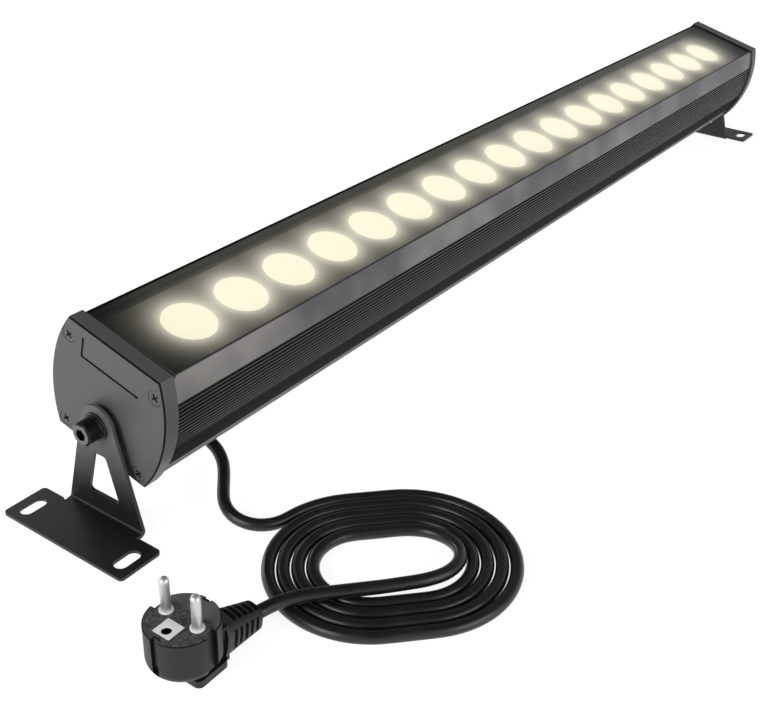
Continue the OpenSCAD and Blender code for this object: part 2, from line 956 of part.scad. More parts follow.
module gland_seal() {
  color("#101010")
    bar()
      translate([outlet_x, outlet_y, outlet_z])
        rotate([90, 0, 0])
          translate([0, 0, 14.2])
            cylinder(h = 6.3, d = cord_d + 0.7, $fn = 48);
}

module gland_sleeve() {
  color("#161517")
    bar()
      translate([outlet_x, outlet_y - 21.5, outlet_z])
        rotate([90, 0, 0])
          difference() {
            cylinder(h = sleeve_len, d1 = 11.2, d2 = cord_d + 1.6);
            translate([0, 0, -1])
              cylinder(h = sleeve_len + 2, d = cord_d + 0.2, $fn = 48);
          }
}

module cord_drop() {
  color("#1d1c1e")
    tube(drop_line, cord_d / 2, 8);
}

module cord_coil() {
  color("#1d1c1e")
    tube(coil_line, cord_d / 2, 6);
}

module cord_tail() {
  color("#1d1c1e")
    tube(tail_line, cord_d / 2, 8);
}

module plug_body() {
  color("#2b2a2c")
    translate([plug_c[0], plug_c[1], 0])
      difference() {
        union() {
          // round front with its rounded lower edge
          rotate_extrude($fn = 96)
            union() {
              translate([0, front_z + 6])
                square([plug_r, plug_h - 6.6 - front_z]);
              translate([0, plug_h - 1])
                square([plug_r - 0.6, 1]);
              translate([0, front_z])
                square([plug_r - 6, 7]);
              intersection() {
                translate([plug_r - 6, front_z + 6])
                  circle(r = 6);
                translate([0, front_z])
                  square([plug_r, 7]);
              }
            }
          // neck between the round front and the foot
          translate([1, 0, 0.8])
            cylinder(h = front_z + 1, r1 = 9, r2 = 12);
          // root of the boot
          translate([0, -12, 0.8])
            cube([16.4, 20, 20]);
          // foot flange
          translate([4, 0, 0.4])
            linear_extrude(height = 4)
              round_rect(20, 29, 3);
        }
        // flat root face for the boot
        translate([16.4, -20, -1])
          cube([10, 40, 22.2]);
        // guide notches
        for (s = [-1, 1])
          translate([1, s * (plug_r - 0.6), plug_h / 2 + 5])
            cube([6.5, 5, plug_h], center = true);
        // seats of the earth clips
        for (s = [-1, 1])
          translate([s * (plug_r - 0.4), 0, plug_h / 2 + 9])
            cube([4.4, 4, plug_h], center = true);
        // seat and hole of the earth contact
        translate([-13.2, -5.05, plug_h - 0.8])
          cube([10.1, 10.1, 2]);
        translate([-9.4, 0, 11])
          cylinder(h = 40, d = 5.6, $fn = 48);
        // seats of pins and collars
        for (s = [-1, 1])
          translate([0, s * pin_spacing / 2, 10]) {
            cylinder(h = 40, d = pin_root_d, $fn = 48);
            translate([0, 0, plug_h - 12])
              cylinder(h = 40, d = pin_d + 2, $fn = 48);
          }
      }
}

module plug_boot() {
  color("#2b2a2c")
    translate(boot_root)
      rotate([0, acos(boot_u[2]), atan2(boot_u[1], boot_u[0])])
        difference() {
          cylinder(h = boot_len, r1 = 10, r2 = 6.2);
          for (k = [0 : ribs - 1], a = [45, 135, 225, 315])
            rotate([0, 0, a])
              translate([6.2 - 0.2 * k, -2.6, 4.2 + 3.8 * k])
                cube([6, 5.2, 1.9]);
        }
}

module plug_pins() {
  color("#d0d0d2")
    translate([plug_c[0], plug_c[1], 0])
      for (s = [-1, 1])
        translate([0, s * pin_spacing / 2, 0]) {
          translate([0, 0, 10])
            cylinder(h = plug_h - 12, d = pin_root_d, $fn = 48);
          translate([0, 0, plug_h - 2])
            cylinder(h = 3, d = pin_neck_d, $fn = 48);
          translate([0, 0, pin_foot])
            cylinder(h = plug_h + pin_len - pin_d / 2 - pin_foot, d = pin_d, $fn = 48);
          translate([0, 0, plug_h + pin_len - pin_d / 2])
            sphere(d = pin_d, $fn = 48);
        }
}

module pin_collars() {
  color("#e4e2de")
    translate([plug_c[0], plug_c[1], 0])
      for (s = [-1, 1])
        translate([0, s * pin_spacing / 2, plug_h - 2])
          difference() {
            cylinder(h = 2.8, d = pin_d + 2, $fn = 48);
            translate([0, 0, -1])
              cylinder(h = 6, d = pin_neck_d + 0.1, $fn = 48);
          }
}

module plug_earth_plate() {
  color("#c8c8ca")
    translate([plug_c[0], plug_c[1], 0])
      difference() {
        translate([-13.15, -5, plug_h - 0.8])
          cube([10, 10, 1]);
        translate([-9.4, 0, plug_h - 5])
          cylinder(h = 10, d = 5, $fn = 48);
      }
}

module plug_earth_clips() {
  color("#c8c8ca")
    translate([plug_c[0], plug_c[1], 0])
      for (s = [-1, 1])
        translate([s * (plug_r - 2.05), 0, plug_h / 2 + 6.9])
          cube([1, 3.4, plug_h - 13], center = true);
}

housing_profile();
front_glass();
glass_seal();
near_end_plate();
near_collar();
near_gasket();
far_end_plate();
far_collar();
far_gasket();
cap_screws();
threaded_inserts();
near_bracket();
far_bracket();
pivot_bolts();
spring_washers();
flat_washers();
spacer_washers();
lens_bezel_plate();
lenses();
lens_holders();
led_boards();
led_packages();
board_screws();
driver_case();
driver_lid();
driver_screws();
driver_board();
driver_parts();
terminal_block();
inner_leads();
cable_outlet();
gland_nut();
gland_seal();
gland_sleeve();
cord_drop();
cord_coil();
cord_tail();
plug_body();
plug_boot();
plug_pins();
pin_collars();
plug_earth_plate();
plug_earth_clips();
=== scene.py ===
"""LED wall washer bar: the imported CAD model, dressed and lit for its picture.

Frame: metres, X along the bar (near end at -X), Y across it, Z up, floor at z = 0.
The bar is tilted about its two pivots; `on_bar` and `Surface.section` turn between the
frame of the part and the section of the bar. Named lengths are in millimetres, except
those of the studio, which are in metres.
"""
import logging
import math
from dataclasses import dataclass
from enum import Enum

import bmesh
import bpy
import numpy as np
from mathutils import Matrix, Vector


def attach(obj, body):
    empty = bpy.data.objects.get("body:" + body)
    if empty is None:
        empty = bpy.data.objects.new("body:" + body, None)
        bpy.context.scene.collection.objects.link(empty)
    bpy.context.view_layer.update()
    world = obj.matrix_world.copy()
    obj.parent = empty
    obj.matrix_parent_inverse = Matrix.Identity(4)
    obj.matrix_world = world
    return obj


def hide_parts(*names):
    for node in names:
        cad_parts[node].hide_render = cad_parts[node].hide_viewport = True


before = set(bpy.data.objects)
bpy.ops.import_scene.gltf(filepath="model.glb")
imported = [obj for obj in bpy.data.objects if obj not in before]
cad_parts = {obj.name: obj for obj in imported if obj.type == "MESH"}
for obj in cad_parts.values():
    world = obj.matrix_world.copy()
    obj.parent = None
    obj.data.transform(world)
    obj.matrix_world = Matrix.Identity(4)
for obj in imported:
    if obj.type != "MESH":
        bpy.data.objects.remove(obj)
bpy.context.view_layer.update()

LOG = logging.getLogger("wall_washer")
MM = 0.001
TILT = math.radians(14.5)       # of the bar about its pivots
PIVOT_HEIGHT = 58.0             # of the pivot line over the floor
PIVOT_IN_SECTION = 23.5         # of the pivot line over the underside of the bar
LIGHT_PITCH = 40.65             # from one light to the next
LIGHT_COUNT = 18
LENS_RADIUS = 15.3
HALF_LENGTH = 400.0             # of the bar over its caps
HALF_WIDTH = 40.8               # of the bulging section at its widest
SIDE_RADIUS = 78.0              # of the bulge
MID_HEIGHT = 36.0               # of the widest place over the underside
SKIN = 1.4                      # by which the bar lies inside its caps' outline
CAP_DEPTH = 9.4                 # of a cap along the bar
BOOT_ROOT = (-443.5, -115.5, 11.5)
BOOT_TIP = (-420.5, -118.5, 8.4)

Node = bpy.types.Node
Socket = bpy.types.NodeSocket
Tree = bpy.types.NodeTree
Piece = bpy.types.Object


class End(Enum):
    """The two ends of the bar; the value is the sign of x there."""

    NEAR = -1
    FAR = 1

    def node(self, kind: str) -> str:
        """Name of the CAD node of this kind at this end."""
        return f"{self.name.lower()}_{kind}"


# ---------------------------------------------------------------- helpers


def linear(colour: str) -> tuple[float, float, float, float]:
    """Turns an sRGB hex colour to linear light.

    Args:
        colour: a string such as "#6b696c".

    Returns:
        Red, green, blue and an alpha of 1.
    """
    raw = np.array([int(colour[i:i + 2], 16) for i in (1, 3, 5)]) / 255.0
    light = np.where(raw <= 0.04045, raw / 12.92, ((raw + 0.055) / 1.055) ** 2.4)
    return (*light.tolist(), 1.0)


def add(tree: Tree, kind: str, links: dict | None = None, stops: list | None = None,
        **settings: object) -> Node:
    """Adds one node with its settings, its input values and the links into it.

    Args:
        tree: the node tree.
        kind: the node's type name.
        links: input name or number to a value, or to the socket that feeds it.
        stops: places and hex colours of a colour ramp.
        settings: properties of the node itself.

    Returns:
        The new node.
    """
    node = tree.nodes.new(kind)
    for key, value in settings.items():
        setattr(node, key, value)
    for key, value in (links or {}).items():
        if isinstance(value, Socket):
            tree.links.new(value, node.inputs[key])
        else:
            node.inputs[key].default_value = value
    if stops:
        ramp = node.color_ramp
        while len(ramp.elements) < len(stops):
            ramp.elements.new(1.0)
        for element, (place, colour) in zip(ramp.elements, stops):
            element.position = place
            element.color = linear(colour)
    return node


def empty_tree(owner: bpy.types.Material | bpy.types.World) -> Tree:
    """Empties the node tree of a material or a world.

    Args:
        owner: the material or the world.

    Returns:
        Its node tree, with nothing in it.
    """
    owner.use_nodes = True
    owner.node_tree.nodes.clear()
    return owner.node_tree


def put(name: str, data: bpy.types.ID) -> Piece:
    """Puts a mesh, a lamp or a camera into the scene.

    Args:
        name: name of the object.
        data: what the object shows.

    Returns:
        The object, at the origin.
    """
    item = bpy.data.objects.new(name, data)
    bpy.context.scene.collection.objects.link(item)
    return item


def on_bar(points: np.ndarray) -> np.ndarray:
    """Places points of the bar's section in the frame of the part.

    The section is turned by the tilt about the pivot line, whose height in the section
    is PIVOT_IN_SECTION and above the floor is PIVOT_HEIGHT.

    Args:
        points: array (..., 3) in millimetres, x along the bar, y across, z up.

    Returns:
        Array of the same shape, in millimetres.
    """
    x, y, z = points[..., 0], points[..., 1], points[..., 2] - PIVOT_IN_SECTION
    c, s = math.cos(TILT), math.sin(TILT)
    return np.stack([x, y * c - z * s, PIVOT_HEIGHT + y * s + z * c], axis=-1)


def distances(line: np.ndarray) -> np.ndarray:
    """Distance gone along a line of points (n, 3), at each of them."""
    return np.concatenate([[0.0], np.cumsum(np.linalg.norm(np.diff(line, axis=0), axis=1))])


def quads(rows: int, columns: int) -> np.ndarray:
    """Faces of a stack of closed rings, by whole arrays.

    Args:
        rows: number of rings.
        columns: number of points in a ring; the last one joins the first.

    Returns:
        Array (faces, 4) of point numbers.
    """
    i, j = np.meshgrid(np.arange(rows - 1), np.arange(columns), indexing="ij")
    beside = (j + 1) % columns
    return np.stack([i * columns + j, (i + 1) * columns + j, (i + 1) * columns + beside,
                     i * columns + beside], axis=-1).reshape(-1, 4)


def solid(name: str, grids: list[np.ndarray], sharp: float = 35.0, ends: bool = True,
          uv: np.ndarray | None = None) -> Piece:
    """Makes one closed mesh from stacks of rings given in millimetres.

    The rows of a grid follow the path, and its columns close into rings. The ends are
    closed by drawing the first and the last ring to their middles.

    Args:
        name: name of the object.
        grids: arrays (rows, columns, 3).
        sharp: edges sharper than this angle in degrees stay sharp.
        ends: close the first and the last ring.
        uv: array (rows, columns, 2) of the first grid, where a pattern needs it.

    Returns:
        The object, at the origin, with its place in its mesh.
    """
    points, faces, start = [], [], 0
    for grid in grids:
        if ends:
            first, last = (np.broadcast_to(ring.mean(axis=1, keepdims=True), ring.shape)
                           for ring in (grid[:1], grid[-1:]))
            grid = np.concatenate([first, grid, last])
        points.append(grid.reshape(-1, 3) * MM)
        faces.append(quads(*grid.shape[:2]) + start)
        start += grid.shape[0] * grid.shape[1]
    mesh = bpy.data.meshes.new(name)
    mesh.from_pydata(np.concatenate(points), [], np.concatenate(faces))
    if uv is not None:
        if ends:
            uv = np.concatenate([uv[:1], uv, uv[-1:]])
        layer = mesh.uv_layers.new(name="UVMap")
        corner = np.empty(len(mesh.loops), dtype=np.int32)
        mesh.loops.foreach_get("vertex_index", corner)
        layer.data.foreach_set("uv", uv.reshape(-1, 2)[corner].astype(np.float32).ravel())
    work = bmesh.new()
    work.from_mesh(mesh)
    bmesh.ops.remove_doubles(work, verts=work.verts, dist=1e-7)
    bmesh.ops.dissolve_degenerate(work, edges=work.edges, dist=1e-8)
    bmesh.ops.recalc_face_normals(work, faces=work.faces)
    work.to_mesh(mesh)
    work.free()
    mesh.polygons.foreach_set("use_smooth", np.ones(len(mesh.polygons), dtype=bool))
    mesh.set_sharp_from_angle(angle=math.radians(sharp))
    mesh.update()
    return put(name, mesh)


def smooth_by_angle() -> Tree:
    """Node group that shades a mesh smooth, and keeps edges over 30 degrees sharp.

    Returns:
        The group, made once.
    """
    found = bpy.data.node_groups.get("shade_by_angle")
    if found:
        return found
    tree = bpy.data.node_groups.new("shade_by_angle", "GeometryNodeTree")
    for way in ("INPUT", "OUTPUT"):
        tree.interface.new_socket("Geometry", in_out=way, socket_type="NodeSocketGeometry")
    start = add(tree, "NodeGroupInput")
    angle = add(tree, "GeometryNodeInputMeshEdgeAngle")
    steep = add(tree, "FunctionNodeCompare", {0: angle.outputs[0], 1: math.radians(30)},
                operation="GREATER_THAN")
    edges = add(tree, "GeometryNodeSetShadeSmooth",
                {0: start.outputs[0], 1: steep.outputs[0], 2: False}, domain="EDGE")
    faces = add(tree, "GeometryNodeSetShadeSmooth", {0: edges.outputs[0], 2: True},
                domain="FACE")
    add(tree, "NodeGroupOutput", {0: faces.outputs[0]})
    return tree


def dress(name: str, finish: "Finish", edge: float = 0.0) -> Piece:
    """Gives a CAD node its finish and, where it shows, softly broken edges.

    Args:
        name: name of the CAD node.
        finish: the finish of all its faces.
        edge: width in millimetres of the broken edges, 0 for none.

    Returns:
        The node's object.
    """
    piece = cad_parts[name]
    piece.data.materials.clear()
    piece.data.materials.append(finish.material())
    weld = piece.modifiers.new("weld", "WELD")
    weld.merge_threshold = 1e-6
    if edge:
        flat = piece.modifiers.new("flat_faces", "DECIMATE")
        flat.decimate_type = "DISSOLVE"
        flat.angle_limit = math.radians(0.5)
        bevel = piece.modifiers.new("broken_edges", "BEVEL")
        bevel.width = edge * MM
        bevel.segments = 2
        bevel.limit_method = "ANGLE"
        bevel.angle_limit = math.radians(40)
        bevel.use_clamp_overlap = True
    shade = piece.modifiers.new("shading", "NODES")
    shade.node_group = smooth_by_angle()
    if edge:
        # the flat faces lead, so that a bend beside one puts no slope on it
        even = piece.modifiers.new("flat_normals", "WEIGHTED_NORMAL")
        even.keep_sharp = True
    LOG.info("dressed %s with %s", name, finish.name)
    return piece


def finished(piece: Piece, finish: "Finish", slot: str, *nodes: str) -> Piece:
    """Gives a new piece its finish, lets it ride on the lamp and stand for CAD nodes.

    Args:
        piece: the new object.
        finish: its finish.
        slot: the record's material slot that it belongs to; not used.
        nodes: CAD nodes that it stands for.

    Returns:
        The piece.
    """
    piece.data.materials.append(finish.material())
    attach(piece, "lamp")
    if nodes:
        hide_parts(*nodes)
    LOG.info("made %s, %d faces, for %s", piece.name, len(piece.data.polygons),
             ", ".join(nodes) or "itself")
    return piece


@dataclass
class Surface:
    """A material in the making: its nodes, its shader and the place of each point."""

    tree: Tree
    shader: Node
    place: Socket

    def feed(self, name: str, value: Socket) -> None:
        """Links a socket into the shader's input of this name."""
        self.tree.links.new(value, self.shader.inputs[name])

    def calc(self, operation: str, *values: Socket | float) -> Socket:
        """One step of arithmetic on sockets and numbers."""
        return add(self.tree, "ShaderNodeMath", dict(enumerate(values)),
                   operation=operation).outputs[0]

    def split(self, place: Socket) -> list[Socket]:
        """The x, y and z of coordinates."""
        return list(add(self.tree, "ShaderNodeSeparateXYZ", {0: place}).outputs)

    def ramp(self, value: Socket, start: float, stop: float, first: float,
             last: float) -> Socket:
        """Goes evenly from `first` to `last` while a value goes from `start` to `stop`."""
        return add(self.tree, "ShaderNodeMapRange", {
            0: value, 1: start, 2: stop, 3: first, 4: last}).outputs[0]

    def noise(self, size: float | tuple[float, ...], detail: float,
              place: Socket | None = None, **more: float) -> Socket:
        """Cloudy noise.

        Args:
            size: size of its clouds in millimetres, one for all axes or one for each.
            detail: number of finer layers in it.
            place: coordinates in metres; the object's own if not given.
            more: other inputs of the node, by name.

        Returns:
            The noise, mostly 0.3 to 0.7.
        """
        place, scale = self.place if place is None else place, 1.0
        if isinstance(size, float):
            scale = 1000 / size
        else:
            place = add(self.tree, "ShaderNodeMapping", {
                "Vector": place, "Scale": tuple(1000 / one for one in size)}).outputs[0]
        return add(self.tree, "ShaderNodeTexNoise", {
            "Vector": place, "Scale": scale, "Detail": detail} | more).outputs[0]

    def patches(self, pattern: Socket, span: tuple[float, float, float], first: str,
                second: str) -> Socket:
        """Mixes two colours by a pattern.

        Args:
            pattern: the pattern, 0 to 1.
            span: its value where the second colour begins, its value where that
                reaches its full share, and this share.
            first: hex colour of the ground.
            second: hex colour of the patches.

        Returns:
            The mixed colour.
        """
        share = self.ramp(pattern, span[0], span[1], 0.0, span[2])
        return add(self.tree, "ShaderNodeMix", {
            0: share, 6: linear(first), 7: linear(second)}, data_type="RGBA").outputs[2]

    def over(self, share: Socket | float, colour: Socket | str) -> None:
        """Lays a colour over the base colour so far.

        Args:
            share: how much of it shows, 0 to 1.
            colour: a socket, or a hex colour.
        """
        under = self.shader.inputs["Base Color"].links[0].from_socket
        both = add(self.tree, "ShaderNodeMix", {
            0: share, 6: under, 7: linear(colour) if isinstance(colour, str) else colour},
            data_type="RGBA")
        self.feed("Base Color", both.outputs[2])

    def gloss(self, pattern: Socket, least: float, most: float) -> Socket:
        """Lets the roughness follow a pattern.

        Args:
            pattern: the pattern, whose values lie mostly at 0.3 to 0.7.
            least: roughness at 0.3.
            most: roughness at 0.7.

        Returns:
            The roughness.
        """
        rough = self.ramp(pattern, 0.3, 0.7, least, most)
        self.feed("Roughness", rough)
        return rough

    def relief(self, pattern: Socket, height: float, strength: float) -> None:
        """Raises the surface by a pattern.

        Args:
            pattern: the pattern.
            height: its height in millimetres.
            strength: how much of it shows.
        """
        bump = add(self.tree, "ShaderNodeBump", {
            "Height": pattern, "Distance": height * MM, "Strength": strength})
        self.feed("Normal", bump.outputs[0])

    def shine(self, colour: str, strength: Socket) -> None:
        """Lets the surface give light.

        Args:
            colour: hex colour of the light.
            strength: its strength.
        """
        self.shader.inputs["Emission Color"].default_value = linear(colour)
        self.feed("Emission Strength", strength)

    def section(self) -> Socket:
        """Coordinates in metres in the bar's own section: x along, y across, z up."""
        c, s = math.cos(TILT), math.sin(TILT)
        return add(self.tree, "ShaderNodeMapping", {
            "Vector": self.place, "Rotation": (-TILT, 0.0, 0.0),
            "Location": (0.0, -PIVOT_HEIGHT * MM * s,
                         (PIVOT_IN_SECTION - PIVOT_HEIGHT * c) * MM)}).outputs[0]

    def above(self, length: Socket, edge: float, soft: float) -> Socket:
        """A soft step from 0 to 1 where a length in metres passes an edge.

        Args:
            length: the length.
            edge: the edge, in millimetres.
            soft: half width of the passage; below 0, the step goes from 1 to 0.

        Returns:
            The step.
        """
        return add(self.tree, "ShaderNodeMapRange", {
            0: length, 1: (edge - soft) * MM, 2: (edge + soft) * MM},
            interpolation_type="SMOOTHSTEP").outputs[0]

    def end_zone(self, inner: float, outer: float) -> Socket:
        """1 between two distances from the middle of the bar, at both ends alike.

        Args:
            inner: inner edge of the zone.
            outer: outer edge of the zone.

        Returns:
            The zone, 0 outside it.
        """
        reach = self.calc("ABSOLUTE", self.split(self.place)[0])
        return self.calc("SUBTRACT", self.above(reach, inner, 0.02),
                         self.above(reach, outer, 0.02))

    def depth_in_side(self, section: Socket) -> Socket:
        """Depth under the bulging side of the bar, in metres.

        The side is an arc of radius R = SIDE_RADIUS - SKIN about a point at
        y = HALF_WIDTH - SIDE_RADIUS, z = MID_HEIGHT, mirrored to the other side, so the
        depth is R - |(|y| - (HALF_WIDTH - SIDE_RADIUS), z - MID_HEIGHT)|.

        Args:
            section: coordinates in the section.

        Returns:
            The depth.
        """
        _, across, height = self.split(section)
        folded = add(self.tree, "ShaderNodeCombineXYZ", {
            1: self.calc("ABSOLUTE", across), 2: height}).outputs[0]
        centre = (0.0, (HALF_WIDTH - SIDE_RADIUS) * MM, MID_HEIGHT * MM)
        reach = add(self.tree, "ShaderNodeVectorMath", {0: folded, 1: centre},
                    operation="DISTANCE").outputs["Value"]
        return self.calc("SUBTRACT", (SIDE_RADIUS - SKIN) * MM, reach)

    def glow(self, strength: float, fade: float) -> Socket:
        """Light round the row of lights: falls off exponentially from each lens's rim.

        The nearest light is at (round(x / pitch - 1/2) + 1/2) pitches, kept inside the
        row. With d the distance beyond the lens's rim, the glow is the sum over it and
        its two neighbours of strength * exp(-d / fade); past the row there are none.

        Args:
            strength: its value inside a lens's rim.
            fade: distance in millimetres in which it falls to 1/e.

        Returns:
            The glow.
        """
        last = (LIGHT_COUNT - 1) / 2
        along, across, _ = self.split(self.section())
        pitches = self.calc("MULTIPLY", along, 1000 / LIGHT_PITCH)
        whole = self.calc("ROUND", self.calc("SUBTRACT", pitches, 0.5))
        total = 0.0
        for neighbour in (-0.5, 0.5, 1.5):
            centre = self.calc("ADD", whole, neighbour)
            kept = add(self.tree, "ShaderNodeClamp", {
                0: centre, 1: -last, 2: last}).outputs[0]
            in_row = self.calc("COMPARE", centre, kept, 0.01)
            away = self.calc("MULTIPLY", self.calc("SUBTRACT", pitches, kept),
                             LIGHT_PITCH * MM)
            flat = add(self.tree, "ShaderNodeCombineXYZ", {0: away, 1: across}).outputs[0]
            distance = add(self.tree, "ShaderNodeVectorMath", {0: flat},
                           operation="LENGTH").outputs["Value"]
            beyond = self.calc("MAXIMUM", self.calc(
                "SUBTRACT", distance, LENS_RADIUS * MM), 0.0)
            fall = self.calc("EXPONENT", self.calc("MULTIPLY", beyond, -1000 / fade))
            only = self.calc("MULTIPLY", fall, in_row)
            total = self.calc("MULTIPLY_ADD", only, strength, total)
        return total


# ---------------------------------------------------------------- finishes


@dataclass(frozen=True)
class Finish:
    """What every finish has: its colour and how it takes the light."""

    name: str
    colour: str
    roughness: float
    metallic: float = 0.0
    ior: float = 1.5
    specular: float = 0.5

    def material(self) -> bpy.types.Material:
        """Builds the material once.

        Returns:
            The material, the same one each time.
        """
        found = bpy.data.materials.get(self.name)
        if found:
            return found
        material = bpy.data.materials.new(self.name)
        tree = empty_tree(material)
        shader = add(tree, "ShaderNodeBsdfPrincipled", {
            "Base Color": linear(self.colour), "Roughness": self.roughness,
            "Metallic": self.metallic, "IOR": self.ior,
            "Specular IOR Level": self.specular})
        add(tree, "ShaderNodeOutputMaterial", {0: shader.outputs[0]})
        self.pattern(Surface(tree, shader, add(tree, "ShaderNodeTexCoord").outputs["Object"]))
        return material

    def pattern(self, on: Surface) -> None:
        """Adds the finish's own pattern.

        Args:
            on: the material in the making.
        """
        raise NotImplementedError


@dataclass(frozen=True)
class Coating(Finish):
    """A coat of paint or powder: fine grain, faint cloudiness, rubbed spots."""

    grain_mm: float = 0.45
    relief_mm: float = 0.012
    cloud_mm: float = 26.0
    lighter: str = "#76747a"

    def pattern(self, on: Surface) -> None:
        """Cells of the grain raise the surface; broad clouds shift colour and gloss.

        Args:
            on: the material in the making.
        """
        grain = on.noise(self.grain_mm, 3.0, Roughness=0.6)
        cloud = on.noise(self.cloud_mm, 4.0)
        mixed = on.patches(cloud, (0.35, 0.7, 0.3), self.colour, self.lighter)
        speck = on.ramp(grain, 0.3, 0.75, 0.93, 1.07)
        on.feed("Base Color", add(on.tree, "ShaderNodeVectorMath", {0: mixed, 3: speck},
                                  operation="SCALE").outputs[0])
        on.gloss(cloud, self.roughness - 0.04, self.roughness + 0.05)
        on.relief(grain, self.relief_mm, 0.8)


@dataclass(frozen=True)
class CapPaint(Coating):
    """The coat of the caps and of the screws in them, with near-black painted shade in the
    recesses just behind their end faces: the engraved line, the seam and the cross recesses."""

    from_mm: float = 0.05
    to_mm: float = 0.86
    # near-black painted shade of the recesses just behind the end faces
    recess_shade: str = "#0a090b"

    def pattern(self, on: Surface) -> None:
        """The coat's own pattern, under the painted shade of the recesses.

        Args:
            on: the material in the making.
        """
        super().pattern(on)
        # painted shade: near black at these depths just behind the end face
        on.over(on.end_zone(HALF_LENGTH - self.to_mm, HALF_LENGTH - self.from_mm), self.recess_shade)


@dataclass(frozen=True)
class BracketPaint(Coating):
    """The brackets' coat, under painted shade that is blacker on the foot and low on the legs,
    and painted light that is paler up at the ear.
    """

    foot: str = "#080709"
    ear: str = "#656366"
    low_mm: float = 10.0
    high_mm: float = 74.0
    cover: float = 0.9

    def pattern(self, on: Surface) -> None:
        """The coat's own pattern, mostly covered by painted light and shade that rises with
        height.

        Args:
            on: the material in the making.
        """
        super().pattern(on)
        height = on.split(on.place)[2]
        middle, half = (self.low_mm + self.high_mm) / 2, (self.high_mm - self.low_mm) / 2
        # painted shade on the foot and low on the legs, rising to painted light up at the ear
        painted_light_by_height = on.patches(on.above(height, middle, half), (0.0, 1.0, 1.0), self.foot, self.ear)
        on.over(self.cover, painted_light_by_height)


@dataclass(frozen=True)
class Extrusion(Finish):
    """Dark anodised aluminium: drawing lines run lengthwise; the grooves and the plain zone
    under them are blacker with painted shade, the smooth strip beside the glass is lighter with
    a painted sheen and patches of painted light, and a painted highlight runs along the bottom
    edge."""

    line_mm: float = 0.35
    line_length_mm: float = 1000 / 3
    light_spill_mm: float = 62.5
    lighter: str = "#3d3b3f"
    # painted sheen of the smooth strip beside the glass, and painted light of its patches
    sheen_band: str = "#545256"
    painted_light: str = "#96938e"
    # painted shade: black in the grooves, near black over the plain zone under them
    groove: str = "#0a090b"
    plain: str = "#201e21"
    # painted highlight along the bottom edge
    edge: str = "#a2a0a3"
    lip: str = "#403e41"
    highlight_top_mm: float = 9.0
    plain_top_mm: float = 26.6
    band_foot_mm: float = 56.0
    lip_foot_mm: float = 70.2
    groove_mm: float = 0.3
    groove_roughness: float = 0.85
    groove_specular: float = 0.08
    ridge_specular: float = 0.22

    def pattern(self, on: Surface) -> None:
        """Drawing lines, then the zones of the section by height and by depth.

        Args:
            on: the material in the making.
        """
        section = on.section()
        _, across, height = on.split(section)
        smooth = on.above(height, self.band_foot_mm, 0.15)
        sunk = on.above(on.depth_in_side(section), self.groove_mm, 0.12)
        lines = on.noise((self.line_length_mm, self.line_mm, self.line_mm), 3.0, section)
        light_spill = on.noise(self.light_spill_mm, 2.0, section)
        whole = (0.0, 1.0, 1.0)
        on.feed("Base Color", on.patches(lines, (0.3, 0.7, 0.6), self.colour, self.lighter))
        # painted sheen on the smooth strip beside the glass, with patches of painted light
        on.over(smooth, on.patches(light_spill, (0.38, 0.66, 0.8), self.sheen_band, self.painted_light))
        # painted shade: black in the grooves, near black over the plain zone under them
        on.over(sunk, on.patches(on.above(height, self.plain_top_mm, 0.3), whole,
                                 self.plain, self.groove))
        # painted highlight along the bottom edge of the section
        on.over(on.above(height, self.highlight_top_mm, -0.8), self.edge)
        on.over(on.above(height, self.lip_foot_mm, 0.1),
                on.patches(on.above(across, 0.0, 1.0), whole, self.lip, self.groove))
        rough = on.gloss(lines, self.roughness - 0.05, self.roughness + 0.06)
        on.feed("Roughness", add(on.tree, "ShaderNodeMix", {
            0: sunk, 2: rough, 3: self.groove_roughness}).outputs[0])
        level = on.ramp(smooth, 0.0, 1.0, self.ridge_specular, self.specular)
        on.feed("Specular IOR Level", add(on.tree, "ShaderNodeMix", {
            0: sunk, 2: level, 3: self.groove_specular}).outputs[0])
        on.feed("Metallic", on.ramp(smooth, 0.0, 1.0, 0.0, self.metallic))
        on.relief(lines, 0.01, 0.5)


@dataclass(frozen=True)
class Metal(Finish):
    """Plated or machined metal: fine marks of the tool and faint smudges."""

    mark_mm: float = 0.25
    smudge_mm: float = 1000 / 220
    lengthwise: tuple[float, float, float] = (1.0, 1.0, 1.0)
    darker: str = "#8c8a88"
    relief_mm: float = 0.006

    def pattern(self, on: Surface) -> None:
        """Noise stretched by `lengthwise` for the marks, and broad smudges.

        Args:
            on: the material in the making.
        """
        marks = on.noise(tuple(self.mark_mm / k for k in self.lengthwise), 2.0)
        smudge = on.noise(self.smudge_mm, 3.0)
        on.feed("Base Color", on.patches(smudge, (0.4, 0.75, 0.5), self.colour, self.darker))
        on.gloss(marks, self.roughness - 0.05, self.roughness + 0.08)
        on.relief(marks, self.relief_mm, 0.6)


@dataclass(frozen=True)
class GreyFacedBolt(Metal):
    """Black oxide bolt whose end face, round the hexagon socket, is a lighter grey."""

    face_mm: float = 416.1
    face_grey: str = "#6f6d70"

    def pattern(self, on: Surface) -> None:
        """The metal's own pattern, and the lighter grey end face.

        Args:
            on: the material in the making.
        """
        super().pattern(on)
        on.over(on.end_zone(self.face_mm - 0.08, self.face_mm + 1.0), self.face_grey)


@dataclass(frozen=True)
class ClipSteel(Metal):
    """Spring steel of the earth clips, tinned: painted shade makes it dark where it lies deep in
    the front slot, with painted light on the clip at the back."""

    back_mm: float = -108.0
    painted_light: str = "#e9e7e6"

    def pattern(self, on: Surface) -> None:
        """The metal's own pattern, and painted light on the clip at the back.

        Args:
            on: the material in the making.
        """
        super().pattern(on)
        # painted light on the clip at the back
        on.over(on.above(on.split(on.place)[1], self.back_mm, 1.0), self.painted_light)


